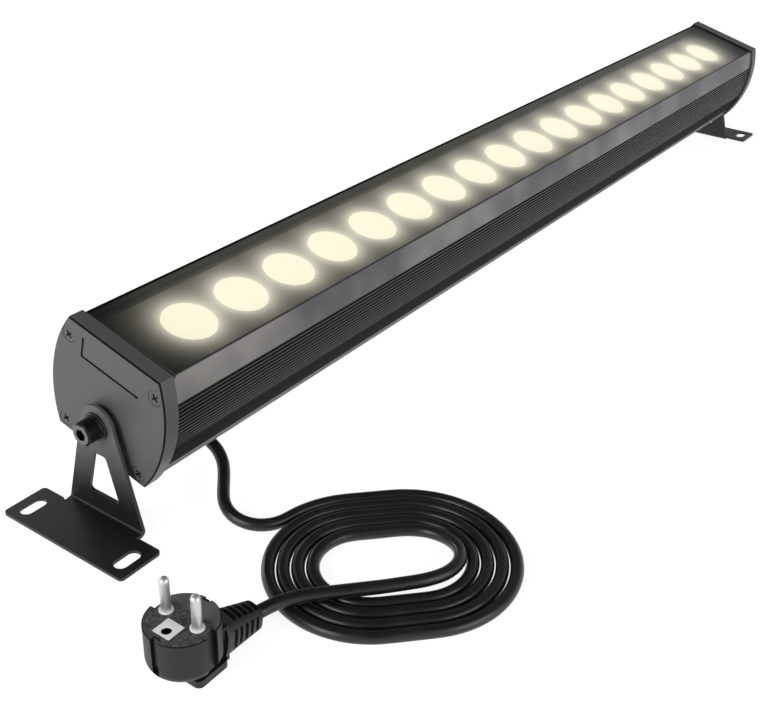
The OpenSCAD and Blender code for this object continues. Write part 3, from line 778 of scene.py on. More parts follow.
@dataclass(frozen=True)
class Moulding(Finish):
    """Injection moulded plastic or rubber: the eroded grain of the mould."""

    grain_mm: float = 0.3
    relief_mm: float = 0.02
    flow_mm: float = 1000 / 140
    lighter: str = "#3a393c"

    def pattern(self, on: Surface) -> None:
        """A cell pattern for the grain, and slow flow marks in colour and gloss.

        Args:
            on: the material in the making.
        """
        grain = add(on.tree, "ShaderNodeTexVoronoi", {
            "Vector": on.place, "Scale": 1000 / self.grain_mm},
            feature="SMOOTH_F1").outputs[0]
        flow = on.noise(self.flow_mm, 3.0, Distortion=0.6)
        on.feed("Base Color", on.patches(flow, (0.35, 0.75, 0.5), self.colour, self.lighter))
        on.gloss(flow, self.roughness - 0.05, self.roughness + 0.06)
        on.relief(grain, self.relief_mm, 0.5)


@dataclass(frozen=True)
class PlugShell(Moulding):
    """Moulded plug body: smooth sides, and a coarse eroded face whose shoulder on the cord's
    side is a lighter grey."""

    face_mm: float = 29.6
    shoulder_mm: float = -453.5
    mottle_mm: float = 1.7
    face: str = "#302e31"
    fleck: str = "#636164"
    shoulder: str = "#656366"

    def pattern(self, on: Surface) -> None:
        """The moulding's own pattern, and the face above `face_mm`.

        Args:
            on: the material in the making.
        """
        super().pattern(on)
        sides = on.shader.inputs["Base Color"].links[0].from_socket
        along, _, height = on.split(on.place)
        mottle = on.noise(self.mottle_mm, 4.0, Roughness=0.7)
        on.feed("Base Color", on.patches(mottle, (0.38, 0.66, 1.0), self.face, self.fleck))
        on.over(on.above(along, self.shoulder_mm, 1.5), self.shoulder)
        on.over(on.above(height, self.face_mm, -0.05), sides)


@dataclass(frozen=True)
class Jacket(Finish):
    """Extruded PVC jacket of a cord: lengthwise die lines, by the piece's UV map,
    whose u runs round the cord and v along it in metres."""

    lighter: str = "#343336"
    lines_round: float = 40.0
    line_mm: float = 50.0
    patch_mm: float = 1000 / 60

    def pattern(self, on: Surface) -> None:
        """Noise stretched along the cord for the lines, and slow dull patches.

        Args:
            on: the material in the making.
        """
        uv = add(on.tree, "ShaderNodeUVMap", uv_map="UVMap").outputs[0]
        lines = on.noise((1000 / self.lines_round, self.line_mm, 1000.0), 2.0, uv)
        patch = on.noise(self.patch_mm, 3.0)
        on.feed("Base Color", on.patches(patch, (0.35, 0.7, 0.7), self.colour, self.lighter))
        on.gloss(patch, self.roughness - 0.04, self.roughness + 0.07)
        on.relief(lines, 0.05, 0.3)


@dataclass(frozen=True)
class LitPlate(Coating):
    """Matt black bezel plate with a painted glow of each lens close to its rim, given off as
    emission.
    """

    halo: str = "#fffbe0"
    strength: float = 1.4
    fade: float = 5.4

    def pattern(self, on: Surface) -> None:
        """The coat's own pattern, and the painted glow of the lights as emission.

        Args:
            on: the material in the making.
        """
        super().pattern(on)
        # painted glow round each lens, given off by the plate
        on.shine(self.halo, on.glow(self.strength, self.fade))


@dataclass(frozen=True)
class SmokedGlass(Finish):
    """Toughened smoked glass: dark and glossy, with faint marks of wiping. A painted glow round
    the lights, given off as emission, stands for light scattered widely, more towards the far
    end."""

    opacity: float = 0.4
    haze: str = "#fffcec"
    strength: float = 0.15
    far_times: float = 2.1
    fade: float = 12.0
    wipe_mm: float = 1000 / 18

    def pattern(self, on: Surface) -> None:
        """The painted glow of scattered light as emission; the wipe marks vary the gloss.

        Args:
            on: the material in the making.
        """
        on.shader.inputs["Alpha"].default_value = self.opacity
        rise = on.ramp(on.split(on.place)[0], -HALF_LENGTH * MM, HALF_LENGTH * MM, 1.0,
                       self.far_times)
        # painted glow round the lights, stronger towards the far end
        on.shine(self.haze, on.calc("MULTIPLY", on.glow(self.strength, self.fade), rise))
        wipe = on.noise(self.wipe_mm, 5.0, Distortion=0.8)
        on.feed("Roughness", on.ramp(wipe, 0.35, 0.7, self.roughness, self.roughness + 0.07))


@dataclass(frozen=True)
class LitLens(Finish):
    """Clear acrylic lens with its LED lit: an even cream disc with the fine beads of a
    diffusing lens. Its strength falls to the far end, where the glass adds more haze."""

    light: str = "#fff9dc"
    strength: float = 2.42
    far_strength: float = 1.86
    bead_mm: float = 1.1

    def pattern(self, on: Surface) -> None:
        """Beads of a hexagonal diffuser as slight changes of brightness.

        Args:
            on: the material in the making.
        """
        beads = add(on.tree, "ShaderNodeTexVoronoi", {
            "Vector": on.section(), "Scale": 1000 / self.bead_mm}, feature="F1").outputs[0]
        power = on.ramp(on.split(on.place)[0], -HALF_LENGTH * MM, HALF_LENGTH * MM,
                        self.strength, self.far_strength)
        on.shine(self.light, on.calc("MULTIPLY", power, on.ramp(beads, 0.0, 0.8, 1.01, 0.97)))


# Satin powder coat on cast caps: the end faces read as one even mid grey, with painted shade in
# the recesses just behind them.
SATIN_GREY = CapPaint("powder_coated_aluminium_satin_grey", "#555356", 0.44,
                      lighter="#5f5d60")
# The same coat on the rims, darker with painted shade and a little rougher, so that their edges
# catch less light.
RIM_GREY = Coating("powder_coated_aluminium_rim", "#504e51", 0.46, lighter="#5a585b")
# Satin powder coat on bent steel, under painted shade deep black on the flat foot, rising to
# painted light grey up at the ear.
SATIN_BLACK = BracketPaint("powder_coated_steel_satin_black", "#39373a", 0.42,
                           grain_mm=0.4, lighter="#454346")
# Drawn and anodised: a painted sheen along the bar, broken by the painted shade of the grooves.
HOUSING = Extrusion("anodised_aluminium_extruded", "#2f2d31", 0.40, metallic=0.3)
# Printed matt black sheet, with a painted glow round each lens.
MATT_BLACK = LitPlate("printed_steel_matt_black", "#151416", 0.75, lighter="#1c1b1d")
# Float glass, smoked through: a black mirror, with a painted glow round the lights.
GLASS = SmokedGlass("toughened_glass_smoked", "#151416", 0.05, ior=1.5)
# Moulded acrylic over a lit LED: a flat, even, warm white disc.
LENS = LitLens("acrylic_lens_lit", "#55524a", 0.3, ior=1.49)
# Moulded polycarbonate: ivory white, slightly shiny.
HOLDER = Moulding("polycarbonate_moulded_white", "#d9d3bc", 0.5, lighter="#e6e1cf")
# Steel screws painted with the cap: they show by their cross and their rim, both near black with
# painted shade.
SCREW_GREY = CapPaint("steel_screw_grey_painted", "#525053", 0.42, lighter="#5d5b5e",
                      from_mm=0.16, to_mm=1.4)
# Black oxide, oiled: near black with a soft sheen, and a lighter grey end face.
BLACK_OXIDE = GreyFacedBolt("steel_black_oxide_oiled", "#1a191b", 0.36, metallic=0.7,
                       darker="#232225")
# Blackened washer steel: darker and duller than the bracket under it.
WASHER = Metal("steel_washer_blackened", "#4a494c", 0.36, metallic=0.8, darker="#2d2c2f")
# Turned brass: warm yellow with the rings of the tool.
BRASS = Metal("brass_turned", "#b59a5a", 0.3, metallic=1.0, darker="#8a7440")
# Nickel plated and satin: pale silver pins with a soft, broad highlight.
NICKEL = Metal("brass_nickel_plated_satin", "#d6d4d2", 0.42, metallic=0.9,
               lengthwise=(1.0, 1.0, 0.05), darker="#cac8c6", relief_mm=0.0003)
# Tinned sheet, pressed: an almost white plate that mirrors very little.
TINPLATE = Metal("steel_tinned_pressed", "#fbfaf9", 0.42, metallic=0.05,
                 darker="#f0efee", relief_mm=0.003)
# Tinned spring steel: painted shade in the front slot, painted light at the back.
CLIP_STEEL = ClipSteel("spring_steel_tinned_dull", "#3a383b", 0.4, metallic=0.8,
                       darker="#2c2b2d")
# Tooled silicone: a soft black line with hardly any shine.
SEALANT = Moulding("silicone_sealant_tooled_black", "#0d0c0e", 0.5, lighter="#151416")
# Zinc plate: cool pale grey, clean and shiny.
ZINC = Metal("steel_zinc_plated", "#b9bbbd", 0.33, metallic=1.0, darker="#94979b")
# Galvanised sheet: cool grey with the broad flakes of the zinc.
GALVANISED = Metal("steel_sheet_galvanised", "#a3a6a8", 0.42, metallic=0.9,
                   mark_mm=3.0, darker="#8b8e91")
# Moulded rubber: black and dull.
RUBBER = Moulding("epdm_rubber_moulded_black", "#161517", 0.7, lighter="#1f1e20")
# Moulded polyamide: black with a faint sheen, and white and waxy.
NYLON_BLACK = Moulding("polyamide_moulded_black", "#1c1b1d", 0.48, lighter="#29282b")
NYLON_WHITE = Moulding("polyamide_moulded_white", "#f1f0ee", 0.45, lighter="#f7f6f5")
# Hard thermoplastic: smooth dark sides under a mottled grey face.
PLUG_BLACK = PlugShell("thermoplastic_plug_moulded_black", "#1a191b", 0.46,
                       specular=0.38, lighter="#262427")
# Softer thermoplastic of the boot: black, so that its slots read as deeper black.
BOOT_BLACK = Moulding("thermoplastic_boot_moulded_black", "#1b1a1c", 0.46,
                      lighter="#262427")
# PVC jacket: black with one long soft highlight along each turn.
CORD_BLACK = Jacket("pvc_cord_jacket_black", "#131214", 0.33, lighter="#1c1b1d")
# Solder masks: white under the lights, green in the driver, both smooth.
BOARD_WHITE = Coating("circuit_board_white_mask", "#d6d5cd", 0.4, lighter="#e6e5df")
BOARD_GREEN = Coating("circuit_board_green_mask", "#2b6238", 0.35, lighter="#3a7a49")
# Cast phosphor: the yellow squares of the LEDs.
PHOSPHOR = Moulding("silicone_phosphor_cast", "#f2d98a", 0.35, lighter="#ffeeb4")
# Moulded epoxy bodies of the driver's parts: dull yellow.
COMPONENT = Moulding("epoxy_component_moulded", "#c2ad5c", 0.45, lighter="#d4c27a")
# PVC of the inner leads: brown, slightly shiny.
LEAD = Moulding("pvc_lead_brown", "#6d4425", 0.42, lighter="#80532f")


# ---------------------------------------------------------------- sub-assemblies


@dataclass(frozen=True)
class Housing:
    """Extruded bar with its glass, its two caps and their screws."""

    rim_edge: float = 0.25
    screw_edge: float = 0.2

    def dress(self) -> None:
        """Dresses the bar, the glass, the caps, the gaskets and the screws."""
        dress("housing_profile", HOUSING)
        dress("front_glass", GLASS)
        dress("glass_seal", RUBBER)
        for end in End:
            dress(end.node("end_plate"), SATIN_GREY)
            dress(end.node("collar"), RIM_GREY, self.rim_edge)
            dress(end.node("gasket"), RUBBER)
        dress("cap_screws", SCREW_GREY, self.screw_edge)
        dress("threaded_inserts", BRASS)


@dataclass(frozen=True)
class EndSealant:
    """Beads of black sealant that close the joint of bar and glass with each cap; their black
    also stands for the shade in that joint, and over the glass they widen towards the front,
    where that shade is wider.
    """

    reach: float = 1.3
    height: float = 0.8
    glass_reach: float = 1.7
    glass_spread: float = 2.0
    depth: float = 0.2
    glass_depth: float = 0.4
    overlap: float = 0.1

    def outline(self) -> np.ndarray:
        """The closed outline of the bar just under its skin.

        Each side is the arc y = sqrt(R^2 - (z - MID_HEIGHT)^2) + HALF_WIDTH - SIDE_RADIUS
        with R = SIDE_RADIUS - SKIN - depth; top and bottom are straight.

        Returns:
            Array (points, 2) of y and z in the section, in millimetres.
        """
        low, high = SKIN + self.depth, 2 * MID_HEIGHT - SKIN - self.glass_depth
        z = np.linspace(low, high, 56)
        y = (np.sqrt((SIDE_RADIUS - SKIN - self.depth) ** 2 - (z - MID_HEIGHT) ** 2)
             + HALF_WIDTH - SIDE_RADIUS)
        top = np.linspace(y[-1], -y[-1], 42)[1:-1]
        bottom = np.linspace(-y[0], y[0], 30)[1:-1]
        return np.concatenate([
            np.stack([y, z], axis=-1), np.stack([top, np.full_like(top, high)], axis=-1),
            np.stack([-y, z], axis=-1)[::-1],
            np.stack([bottom, np.full_like(bottom, low)], axis=-1)])

    def build(self, end: End) -> Piece:
        """Carries an ellipse along the outline; over the glass it spreads to the front.

        Args:
            end: the end of the bar.

        Returns:
            The bead.
        """
        loop = self.outline()
        ahead = np.roll(loop, -1, axis=0) - np.roll(loop, 1, axis=0)
        ahead /= np.linalg.norm(ahead, axis=1, keepdims=True)
        out = np.stack([ahead[:, 1], -ahead[:, 0]], axis=-1)
        # from 0 to 1 over the last 0.4 mm below the face of the glass
        on_glass = np.clip((loop[:, 1] - 2 * MID_HEIGHT + SKIN + 1.0) / 0.4, 0, 1)
        # the bead widens towards the front, standing for painted shade that is wider there
        # from 0 at the back edge, over 60 mm, to 1 at the front edge
        spread = self.glass_spread * np.clip(0.5 - loop[:, 0] / 60, 0, 1)
        reach = self.reach + on_glass * (self.glass_reach - self.reach + spread)
        turn = np.linspace(0, 2 * np.pi, 12, endpoint=False)
        x = end.value * (HALF_LENGTH - CAP_DEPTH + self.overlap
                         - reach[:, None] * np.cos(turn))
        lift = self.height * np.sin(turn)[None, :, None] * out[:, None]
        grid = np.concatenate([x[..., None], loop[:, None] + lift], axis=-1)
        grid = on_bar(np.concatenate([grid, grid[:1]]))
        bead = solid(end.node("sealant"), [grid], ends=False, sharp=70)
        return finished(bead, SEALANT, "seal_rubber")


@dataclass(frozen=True)
class LightRow:
    """The row of lights under the glass."""

    screw_edge: float = 0.2

    def dress(self) -> None:
        """Dresses the bezel plate, lenses, holders, boards, LEDs and screws."""
        dress("lens_bezel_plate", MATT_BLACK)
        dress("lenses", LENS)
        dress("lens_holders", HOLDER)
        dress("led_boards", BOARD_WHITE)
        dress("led_packages", PHOSPHOR)
        dress("board_screws", ZINC, self.screw_edge)


@dataclass(frozen=True)
class PowerSupply:
    """Driver, terminal block and inner leads, all inside the bar."""

    screw_edge: float = 0.2

    def dress(self) -> None:
        """Dresses the parts that only show when the bar is open."""
        dress("driver_case", GALVANISED)
        dress("driver_lid", GALVANISED)
        dress("driver_screws", ZINC, self.screw_edge)
        dress("driver_board", BOARD_GREEN)
        dress("driver_parts", COMPONENT)
        dress("terminal_block", NYLON_WHITE)
        dress("inner_leads", LEAD)


@dataclass(frozen=True)
class Brackets:
    """The two bent plates that carry the bar, with their pivots."""

    edge: float = 0.3
    washer_edge: float = 0.15
    spacer_edge: float = 0.2

    def dress(self) -> None:
        """Dresses the brackets, bolts and washers."""
        for end in End:
            dress(end.node("bracket"), SATIN_BLACK, self.edge)
        dress("pivot_bolts", BLACK_OXIDE, self.edge)
        dress("spring_washers", WASHER, self.washer_edge)
        dress("flat_washers", WASHER, self.washer_edge)
        dress("spacer_washers", NYLON_BLACK, self.spacer_edge)


@dataclass(frozen=True)
class CableOutlet:
    """Block, gland and strain relief where the cord leaves the underside."""

    block_edge: float = 0.6
    edge: float = 0.3

    def dress(self) -> None:
        """Dresses the block, the nut, the seal and the tapered sleeve."""
        dress("cable_outlet", NYLON_BLACK, self.block_edge)
        dress("gland_nut", NYLON_BLACK, self.edge)
        dress("gland_seal", RUBBER)
        dress("gland_sleeve", RUBBER, self.edge)


# Points of the cord's centre line, listed: from the gland down to the coil, and
# from the inner end of the coil, over it, to the boot of the plug.
DROP = np.array([
    [-341, -13, 22.1], [-341.59, -19.3, 20.39], [-343.54, -25.31, 18.39],
    [-346.8, -30.72, 16.19], [-351.16, -35.3, 13.9], [-355.99, -39.39, 11.73],
    [-360.84, -43.48, 9.74], [-365.2, -48.04, 8.02], [-368.02, -53.68, 6.62],
    [-368.95, -59.92, 5.5], [-367.89, -66.14, 4.65], [-364.94, -71.72, 4.06],
    [-360.4, -76.1, 3.75], [-354.73, -78.85, 3.59], [-348.51, -80, 3.55]])
RISE = np.array([
    [-329.4, -125.7, 3.55], [-320.7, -133.9, 3.55], [-314.9, -143.2, 3.8],
    [-313.6, -153.9, 4.8], [-316.8, -164, 6.4], [-323.9, -171.8, 8.4],
    [-333.5, -175.9, 10.2], [-343.9, -175.7, 11.2], [-353.4, -171.2, 11.4],
    [-362.4, -164, 11.3], [-371.5, -156.1, 11.2], [-380.6, -147.7, 11.2],
    [-389.6, -139.4, 11.2], [-399, -131.1, 11.3], [-409.4, -123.6, 10.5]])


@dataclass(frozen=True)
class MainsLead:
    """The cord from the gland over the floor coil to the plug, as one tube.

    The coil is a flat oval spiral: `turn` is the direction of its long axis, `outer` its
    radius at the angle `start`, and `half` half the distance between its two centres.
    """

    radius: float = 3.5
    sides: int = 20
    centre: tuple[float, float] = (-346.9, -144.0)
    turn: float = 136.3
    half: float = 12.0
    outer: float = 56.0
    step: float = 7.5
    start: float = -60.0
    end: float = -1530.0
    floor: float = 3.55
    outlet: tuple[float, float, float] = (-341.0, -0.5, -8.0)
    straight: float = 7.0           # between the points where it leaves the gland
    spacing: float = 3.2            # between the rings of the tube
    join: float = 8.0               # by which a free stretch overlaps what it meets

    def spiral(self, angle: np.ndarray, side: np.ndarray) -> np.ndarray:
        """Points of the flat oval spiral.

        The radius falls by one step a turn; the centre of each half turn lies `half`
        to its own side of the middle, along the long axis of the oval.

        Args:
            angle: angles in degrees.
            side: 1 or -1 for each angle, the half turn that it belongs to.

        Returns:
            Array (points, 3) in millimetres.
        """
        radius = self.outer - self.step * (self.start - angle) / 360
        u = self.half * side + radius * np.cos(np.radians(angle))
        v = radius * np.sin(np.radians(angle))
        c, s = math.cos(math.radians(self.turn)), math.sin(math.radians(self.turn))
        return np.stack([self.centre[0] + u * c - v * s, self.centre[1] + u * s + v * c,
                         np.full_like(u, self.floor)], axis=-1)

    @staticmethod
    def spline(points: np.ndarray, steps: int = 8) -> np.ndarray:
        """Catmull-Rom line through all points but the first and the last.

        Args:
            points: array (n, 3).
            steps: number of steps from one point to the next.

        Returns:
            Array of the points of the line.
        """
        p, q, r, s = points[:-3, None], points[1:-2, None], points[2:-1, None], points[3:, None]
        t = (np.arange(steps) / steps)[None, :, None]
        line = 0.5 * (2 * q + (r - p) * t + (2 * p - 5 * q + 4 * r - s) * t ** 2
                      + (3 * q - p - 3 * r + s) * t ** 3)
        return np.concatenate([line.reshape(-1, 3), points[-2:-1]])

    def drop(self) -> np.ndarray:
        """A spline from the gland, at first straight out of it, down to the coil.

        Returns:
            Array (points, 3) in millimetres, as those of the next three methods.
        """
        out = np.array([0.0, -math.cos(TILT), -math.sin(TILT)])
        steps = self.straight * np.array([-1.0, 0.0, 1.0, 2.0])
        mouth = on_bar(np.array(self.outlet)) + steps[:, None] * out
        head = self.spiral(np.array([self.start, self.start - self.join]), np.ones(2))
        return self.spline(np.concatenate([mouth, DROP, head]))

    def coil(self) -> np.ndarray:
        """The spiral on the floor, from its outer to its inner end.

        Returns:
            Its points.
        """
        angle = np.arange(self.start, self.end - 0.1, -5.0)
        here, before, after = (np.where(np.cos(np.radians(angle + by)) > least, 1.0, -1.0)
                               for by, least in ((0, 1e-6), (1, 0.0), (-1, 0.0)))
        turn = (np.abs(np.cos(np.radians(angle))) < 1e-6)[:, None]
        # where one arc gives way to the other, the line runs straight between both
        share = np.linspace(0, 1, 5)[None]
        sides = np.where(turn, before[:, None] * (1 - share) + after[:, None] * share,
                         here[:, None])
        keep = np.broadcast_to(turn, sides.shape).copy()
        keep[:, 0] = True
        keep[-1, 1:] = False
        return self.spiral(np.repeat(angle, 5)[keep.ravel()], sides[keep])

    def tail(self) -> np.ndarray:
        """A spline from the inner end of the coil up into the boot of the plug.

        Returns:
            Its points.
        """
        tip, root = np.array(BOOT_TIP), np.array(BOOT_ROOT)
        foot = self.spiral(np.array([self.end + self.join, self.end]), np.ones(2))
        along = (tip - root) / np.linalg.norm(tip - root)
        return self.spline(np.concatenate([foot, RISE, [tip, tip - self.join * along]]))

    def route(self) -> np.ndarray:
        """The whole centre line, evenly spaced, each point then drawn halfway to the
        middle of its neighbours.

        Returns:
            Its points.
        """
        line = np.concatenate([self.drop()[:-1], self.coil(), self.tail()[1:]])
        gone = distances(line)
        even = np.linspace(0, gone[-1], int(gone[-1] / self.spacing))
        line = np.stack([np.interp(even, gone, line[:, k]) for k in range(3)], axis=-1)
        inner = (line[:-2] + 2 * line[1:-1] + line[2:]) / 4
        return np.concatenate([line[:1], inner, line[-1:]])

    def build(self) -> Piece:
        """Carries a circle along the route.

        The circle's side direction is level, at right angles to the route, and its up
        direction completes the frame.

        Returns:
            The cord.
        """
        line = self.route()
        ahead = np.gradient(line, axis=0)
        ahead /= np.linalg.norm(ahead, axis=1, keepdims=True)
        level = np.cross(ahead, [0.0, 0.0, 1.0])
        level /= np.linalg.norm(level, axis=1, keepdims=True)
        up = np.cross(level, ahead)
        around = np.linspace(0, 2 * np.pi, self.sides, endpoint=False)
        ring = (np.cos(around)[None, :, None] * level[:, None]
                + np.sin(around)[None, :, None] * up[:, None])
        uv = np.stack(np.broadcast_arrays(
            np.abs(np.linspace(-1, 1, self.sides, endpoint=False))[None],
            distances(line)[:, None] * MM), axis=-1)
        cord = solid("mains_cord", [line[:, None] + self.radius * ring], uv=uv, sharp=60)
        return finished(cord, CORD_BLACK, "cord_rubber", "cord_drop", "cord_coil",
                        "cord_tail")

    def declare(self, pieces: list[Piece]) -> None:
        """Args:
            pieces: the pieces that hang on it; not used.
        """
        line = self.route()


@dataclass(frozen=True)
class MainsPlug:
    """Angled earthed plug that stands on the floor with its pins upwards."""

    middle: tuple[float, float] = (-459.9, -111.2)
    pin_gap: float = 19.0
    pin_radius: float = 2.4
    pin_top: float = 49.0
    # height and radius: the foot in the body, the neck in the collar, the full pin
    shank: tuple[tuple[float, float], ...] = (
        (10.0, 3.2), (27.9, 3.2), (28.0, 2.0), (30.8, 2.0), (30.9, 2.38), (31.0, 2.4))
    wide: float = 10.0              # half width of the boot at its root
    narrow: float = 6.4             # half width of the boot at its tip
    overlap: float = 1.5            # by which the boot begins inside the body
    rounding: float = 1.2           # of the boot's tip along it
    tip_fall: float = 1.1           # of the half width over that rounding
    corner: float = 1.18            # most radius of the section, in half widths
    ribs: int = 5
    rib_pitch: float = 3.7
    first_rib: float = 6.0
    slot: float = 1.9
    slot_depth: float = 1.5
    slot_ramp: float = 0.3
    slot_angle: float = 35.0        # half angle of a slot round the boot, in degrees
    slot_angle_ramp: float = 5.0
    body_edge: float = 0.35
    collar_edge: float = 0.2
    earth_edge: float = 0.15

    def slots(self, gone: np.ndarray, angle: np.ndarray) -> np.ndarray:
        """Depth of the slots of the boot, each a soft box in length and in angle.

        The rows on the sides lie half a pitch behind the top and bottom rows.

        Args:
            gone: distances along the boot, a column.
            angle: angles round it, a row.

        Returns:
            Array (distances, angles) in millimetres.
        """
        depth = np.zeros(np.broadcast(gone, angle).shape)
        for side in range(4):
            off = np.abs((angle - side * np.pi / 2 + np.pi) % (2 * np.pi) - np.pi)
            across = np.clip((math.radians(self.slot_angle) - off)
                             / math.radians(self.slot_angle_ramp), 0, 1)
            for number in range(self.ribs):
                middle = self.first_rib + self.rib_pitch * (number - 0.5 * (side % 2 == 0))
                box = np.clip((self.slot / 2 - np.abs(gone - middle)) / self.slot_ramp + 0.5,
                              0, 1)
                depth += self.slot_depth * box * across
        return depth

    def boot(self) -> Piece:
        """The ribbed strain relief: a tapered body with rows of slots on four sides.

        The section is a superellipse of exponent 3, r = a / (|cos|^3 + |sin|^3)^(1/3),
        whose half width a falls along the boot.

        Returns:
            The boot.
        """
        root, tip = np.array(BOOT_ROOT), np.array(BOOT_TIP)
        length = float(np.linalg.norm(tip - root))
        axis = (tip - root) / length
        level = np.cross(axis, [0.0, 0.0, 1.0])
        level /= np.linalg.norm(level)
        up = np.cross(level, axis)
        gone = np.linspace(-self.overlap, length, 104)[:, None]
        angle = np.linspace(0, 2 * np.pi, 144, endpoint=False)[None]
        share = np.clip(gone / length, 0, 1)
        half = self.wide + (self.narrow - self.wide) * share ** 0.9
        half = half - self.tip_fall * np.clip(
            (gone - length + self.rounding) / self.rounding, 0, 1) ** 2
        radius = half / (np.abs(np.cos(angle)) ** 3 + np.abs(np.sin(angle)) ** 3) ** (1 / 3)
        radius = np.minimum(radius, half * self.corner) - self.slots(gone, angle)
        around = np.cos(angle)[..., None] * level + np.sin(angle)[..., None] * up
        grid = root + gone[..., None] * axis + radius[..., None] * around
        piece = solid("plug_boot_ribbed", [grid], sharp=38)
        return finished(piece, BOOT_BLACK, "plug_black", "plug_boot")

    def pins(self) -> Piece:
        """Both pins, turned: an outline of radius over height, carried round each axis.

        The tip is a half sphere of the pin's radius, r = sqrt(R^2 - (z - z0)^2), with a
        tiny flat.

        Returns:
            The pins as one piece.
        """
        shoulder = self.pin_top - self.pin_radius
        rise = np.sin(np.linspace(0, np.pi / 2, 13)[:-1])
        low, thick = np.array(self.shank).T
        height = np.concatenate([low, [shoulder - 0.2], shoulder + self.pin_radius * rise,
                                 [self.pin_top - 0.005]])
        radius = np.concatenate([thick, [self.pin_radius],
                                 self.pin_radius * np.sqrt(1 - rise ** 2), [0.12]])
        turn = np.linspace(0, 2 * np.pi, 48, endpoint=False)
        grids = [np.stack(np.broadcast_arrays(
            self.middle[0] + radius[:, None] * np.cos(turn),
            self.middle[1] + side * self.pin_gap / 2 + radius[:, None] * np.sin(turn),
            height[:, None]), axis=-1) for side in (-1, 1)]
        return finished(solid("plug_pins_turned", grids), NICKEL, "pin_nickel", "plug_pins")

    def dress(self) -> list[Piece]:
        """Dresses the plug's nodes and makes its boot and its pins.

        Returns:
            The pieces that hang on the cord.
        """
        return [
            dress("plug_body", PLUG_BLACK, self.body_edge), self.boot(),
            self.pins(), dress("pin_collars", NYLON_WHITE, self.collar_edge),
            dress("plug_earth_plate", TINPLATE, self.earth_edge),
            dress("plug_earth_clips", CLIP_STEEL, self.earth_edge)]


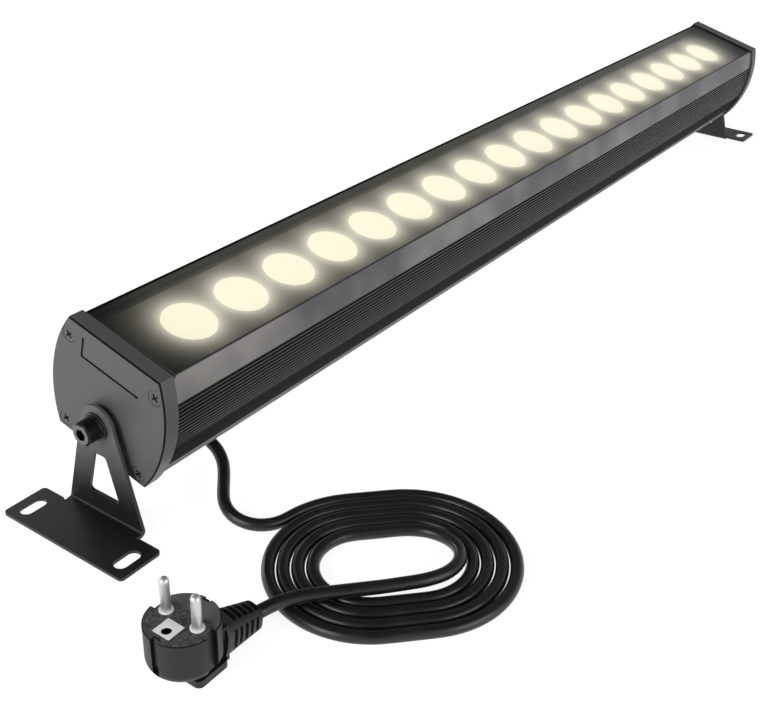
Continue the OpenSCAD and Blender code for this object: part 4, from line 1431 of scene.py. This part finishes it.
@dataclass(frozen=True)
class Studio:
    """White floor, soft light and the photograph's camera, in metres."""

    azimuth: float = 34.95
    elevation: float = 29.61
    roll: float = 1.78
    place: tuple[float, float, float] = (-0.72653, -0.4018, 0.3872)
    focal_px: float = 1160.22
    width_px: float = 768.0
    sensor_mm: float = 36.0
    floor_reach: float = 8.0

    def camera(self) -> None:
        """Places the camera that sees the part as the photograph does."""
        az, el, ro = (math.radians(a) for a in (self.azimuth, self.elevation, self.roll))
        ahead = Vector((math.cos(el) * math.cos(az), math.cos(el) * math.sin(az), -math.sin(el)))
        level = Vector((math.sin(az), -math.cos(az), 0.0))
        upright = level.cross(ahead)
        right = math.cos(ro) * level + math.sin(ro) * upright
        up = -math.sin(ro) * level + math.cos(ro) * upright
        data = bpy.data.cameras.new("camera")
        data.sensor_width = self.sensor_mm
        data.sensor_fit = "HORIZONTAL"
        data.lens = self.focal_px * self.sensor_mm / self.width_px
        data.clip_start = 0.01
        camera = put("camera", data)
        turn = Matrix((right, up, -ahead)).transposed().to_4x4()
        camera.matrix_world = Matrix.Translation(Vector(self.place)) @ turn
        bpy.context.scene.camera = camera

    @staticmethod
    def lamp(name: str, place: tuple[float, float, float], aim: tuple[float, float, float],
             size: float, power: float) -> None:
        """Adds one soft square white lamp.

        Args:
            name: its name.
            place: where it hangs.
            aim: the point that it faces.
            size: width in metres.
            power: watts.
        """
        data = bpy.data.lights.new(name, "AREA")
        data.shape = "SQUARE"
        data.size = size
        data.energy = power
        away = Vector(place) - Vector(aim)
        put(name, data).matrix_world = Matrix.Translation(Vector(place)) @ (
            away.to_track_quat("Z", "Y").to_matrix().to_4x4())

    def lights(self) -> None:
        """Key from the near end, fill from the front, a soft one behind, and the sky."""
        self.lamp("key_near_end", (-2.3, 0.35, 0.9), (-0.35, 0.0, 0.05), 1.3, 30.0)
        self.lamp("fill_front", (-0.2, -2.4, 0.8), (-0.1, 0.0, 0.05), 1.8, 26.0)
        self.lamp("rim_back", (0.3, 2.4, 0.5), (0.0, 0.0, 0.05), 1.6, 16.0)
        world = bpy.data.worlds.new("studio")
        bpy.context.scene.world = world
        tree = empty_tree(world)
        ray = add(tree, "ShaderNodeLightPath")
        direction = add(tree, "ShaderNodeTexCoord").outputs["Generated"]
        height = add(tree, "ShaderNodeSeparateXYZ", {0: direction}).outputs[2]
        # pale near the horizon and grey overhead, but white where the camera looks
        sky = add(tree, "ShaderNodeValToRGB", {0: height}, stops=[
            (0.0, "#f2f2f2"), (0.14, "#e6e6e6"), (0.45, "#868686"), (1.0, "#606060")])
        seen = add(tree, "ShaderNodeMix", {
            0: ray.outputs["Is Camera Ray"], 6: sky.outputs[0], 7: linear("#ffffff")},
            data_type="RGBA")
        back = add(tree, "ShaderNodeBackground", {0: seen.outputs[2], 1: 1.0})
        add(tree, "ShaderNodeOutputWorld", {0: back.outputs[0]})

    def floor(self) -> None:
        """A wide pale floor: white to the camera, and it keeps the soft shadow."""
        mesh = bpy.data.meshes.new("floor")
        reach = self.floor_reach
        mesh.from_pydata([(-reach, -reach, 0), (reach, -reach, 0), (reach, reach, 0),
                          (-reach, reach, 0)], [], [(0, 1, 2, 3)])
        floor = put("floor", mesh)
        material = bpy.data.materials.new("floor_white")
        tree = empty_tree(material)
        ray = add(tree, "ShaderNodeLightPath")
        shiny = add(tree, "ShaderNodeMath", {
            0: ray.outputs["Is Glossy Ray"], 1: ray.outputs["Is Transmission Ray"]},
            operation="MAXIMUM")
        seen = add(tree, "ShaderNodeMath", {
            0: ray.outputs["Is Camera Ray"], 1: shiny.outputs[0]}, operation="MAXIMUM")
        # to the camera and in mirrors it glows near white; to soft light it is a pale grey
        plain = add(tree, "ShaderNodeBsdfDiffuse", {0: linear("#bcbcbc")})
        lit = add(tree, "ShaderNodeBsdfDiffuse", {0: linear("#a8a8a8")})
        white = add(tree, "ShaderNodeEmission", {0: linear("#ffffff"), 1: 0.86})
        both = add(tree, "ShaderNodeAddShader", {0: lit.outputs[0], 1: white.outputs[0]})
        mixed = add(tree, "ShaderNodeMixShader", {
            0: seen.outputs[0], 1: plain.outputs[0], 2: both.outputs[0]})
        add(tree, "ShaderNodeOutputMaterial", {0: mixed.outputs[0]})
        mesh.materials.append(material)


def main() -> None:
    """Builds and dresses the sub-assemblies in order, and lights them."""
    logging.basicConfig(level=logging.INFO, format="%(name)s: %(message)s")
    bpy.context.scene.view_settings.view_transform = "Standard"
    studio = Studio()
    studio.camera()
    lead = MainsLead()
    cord = lead.build()
    lead.declare(MainsPlug().dress())
    Housing().dress()
    for end in End:
        EndSealant().build(end)
    LightRow().dress()
    PowerSupply().dress()
    Brackets().dress()
    CableOutlet().dress()
    studio.floor()
    studio.lights()


if __name__ == "__main__":
    main()
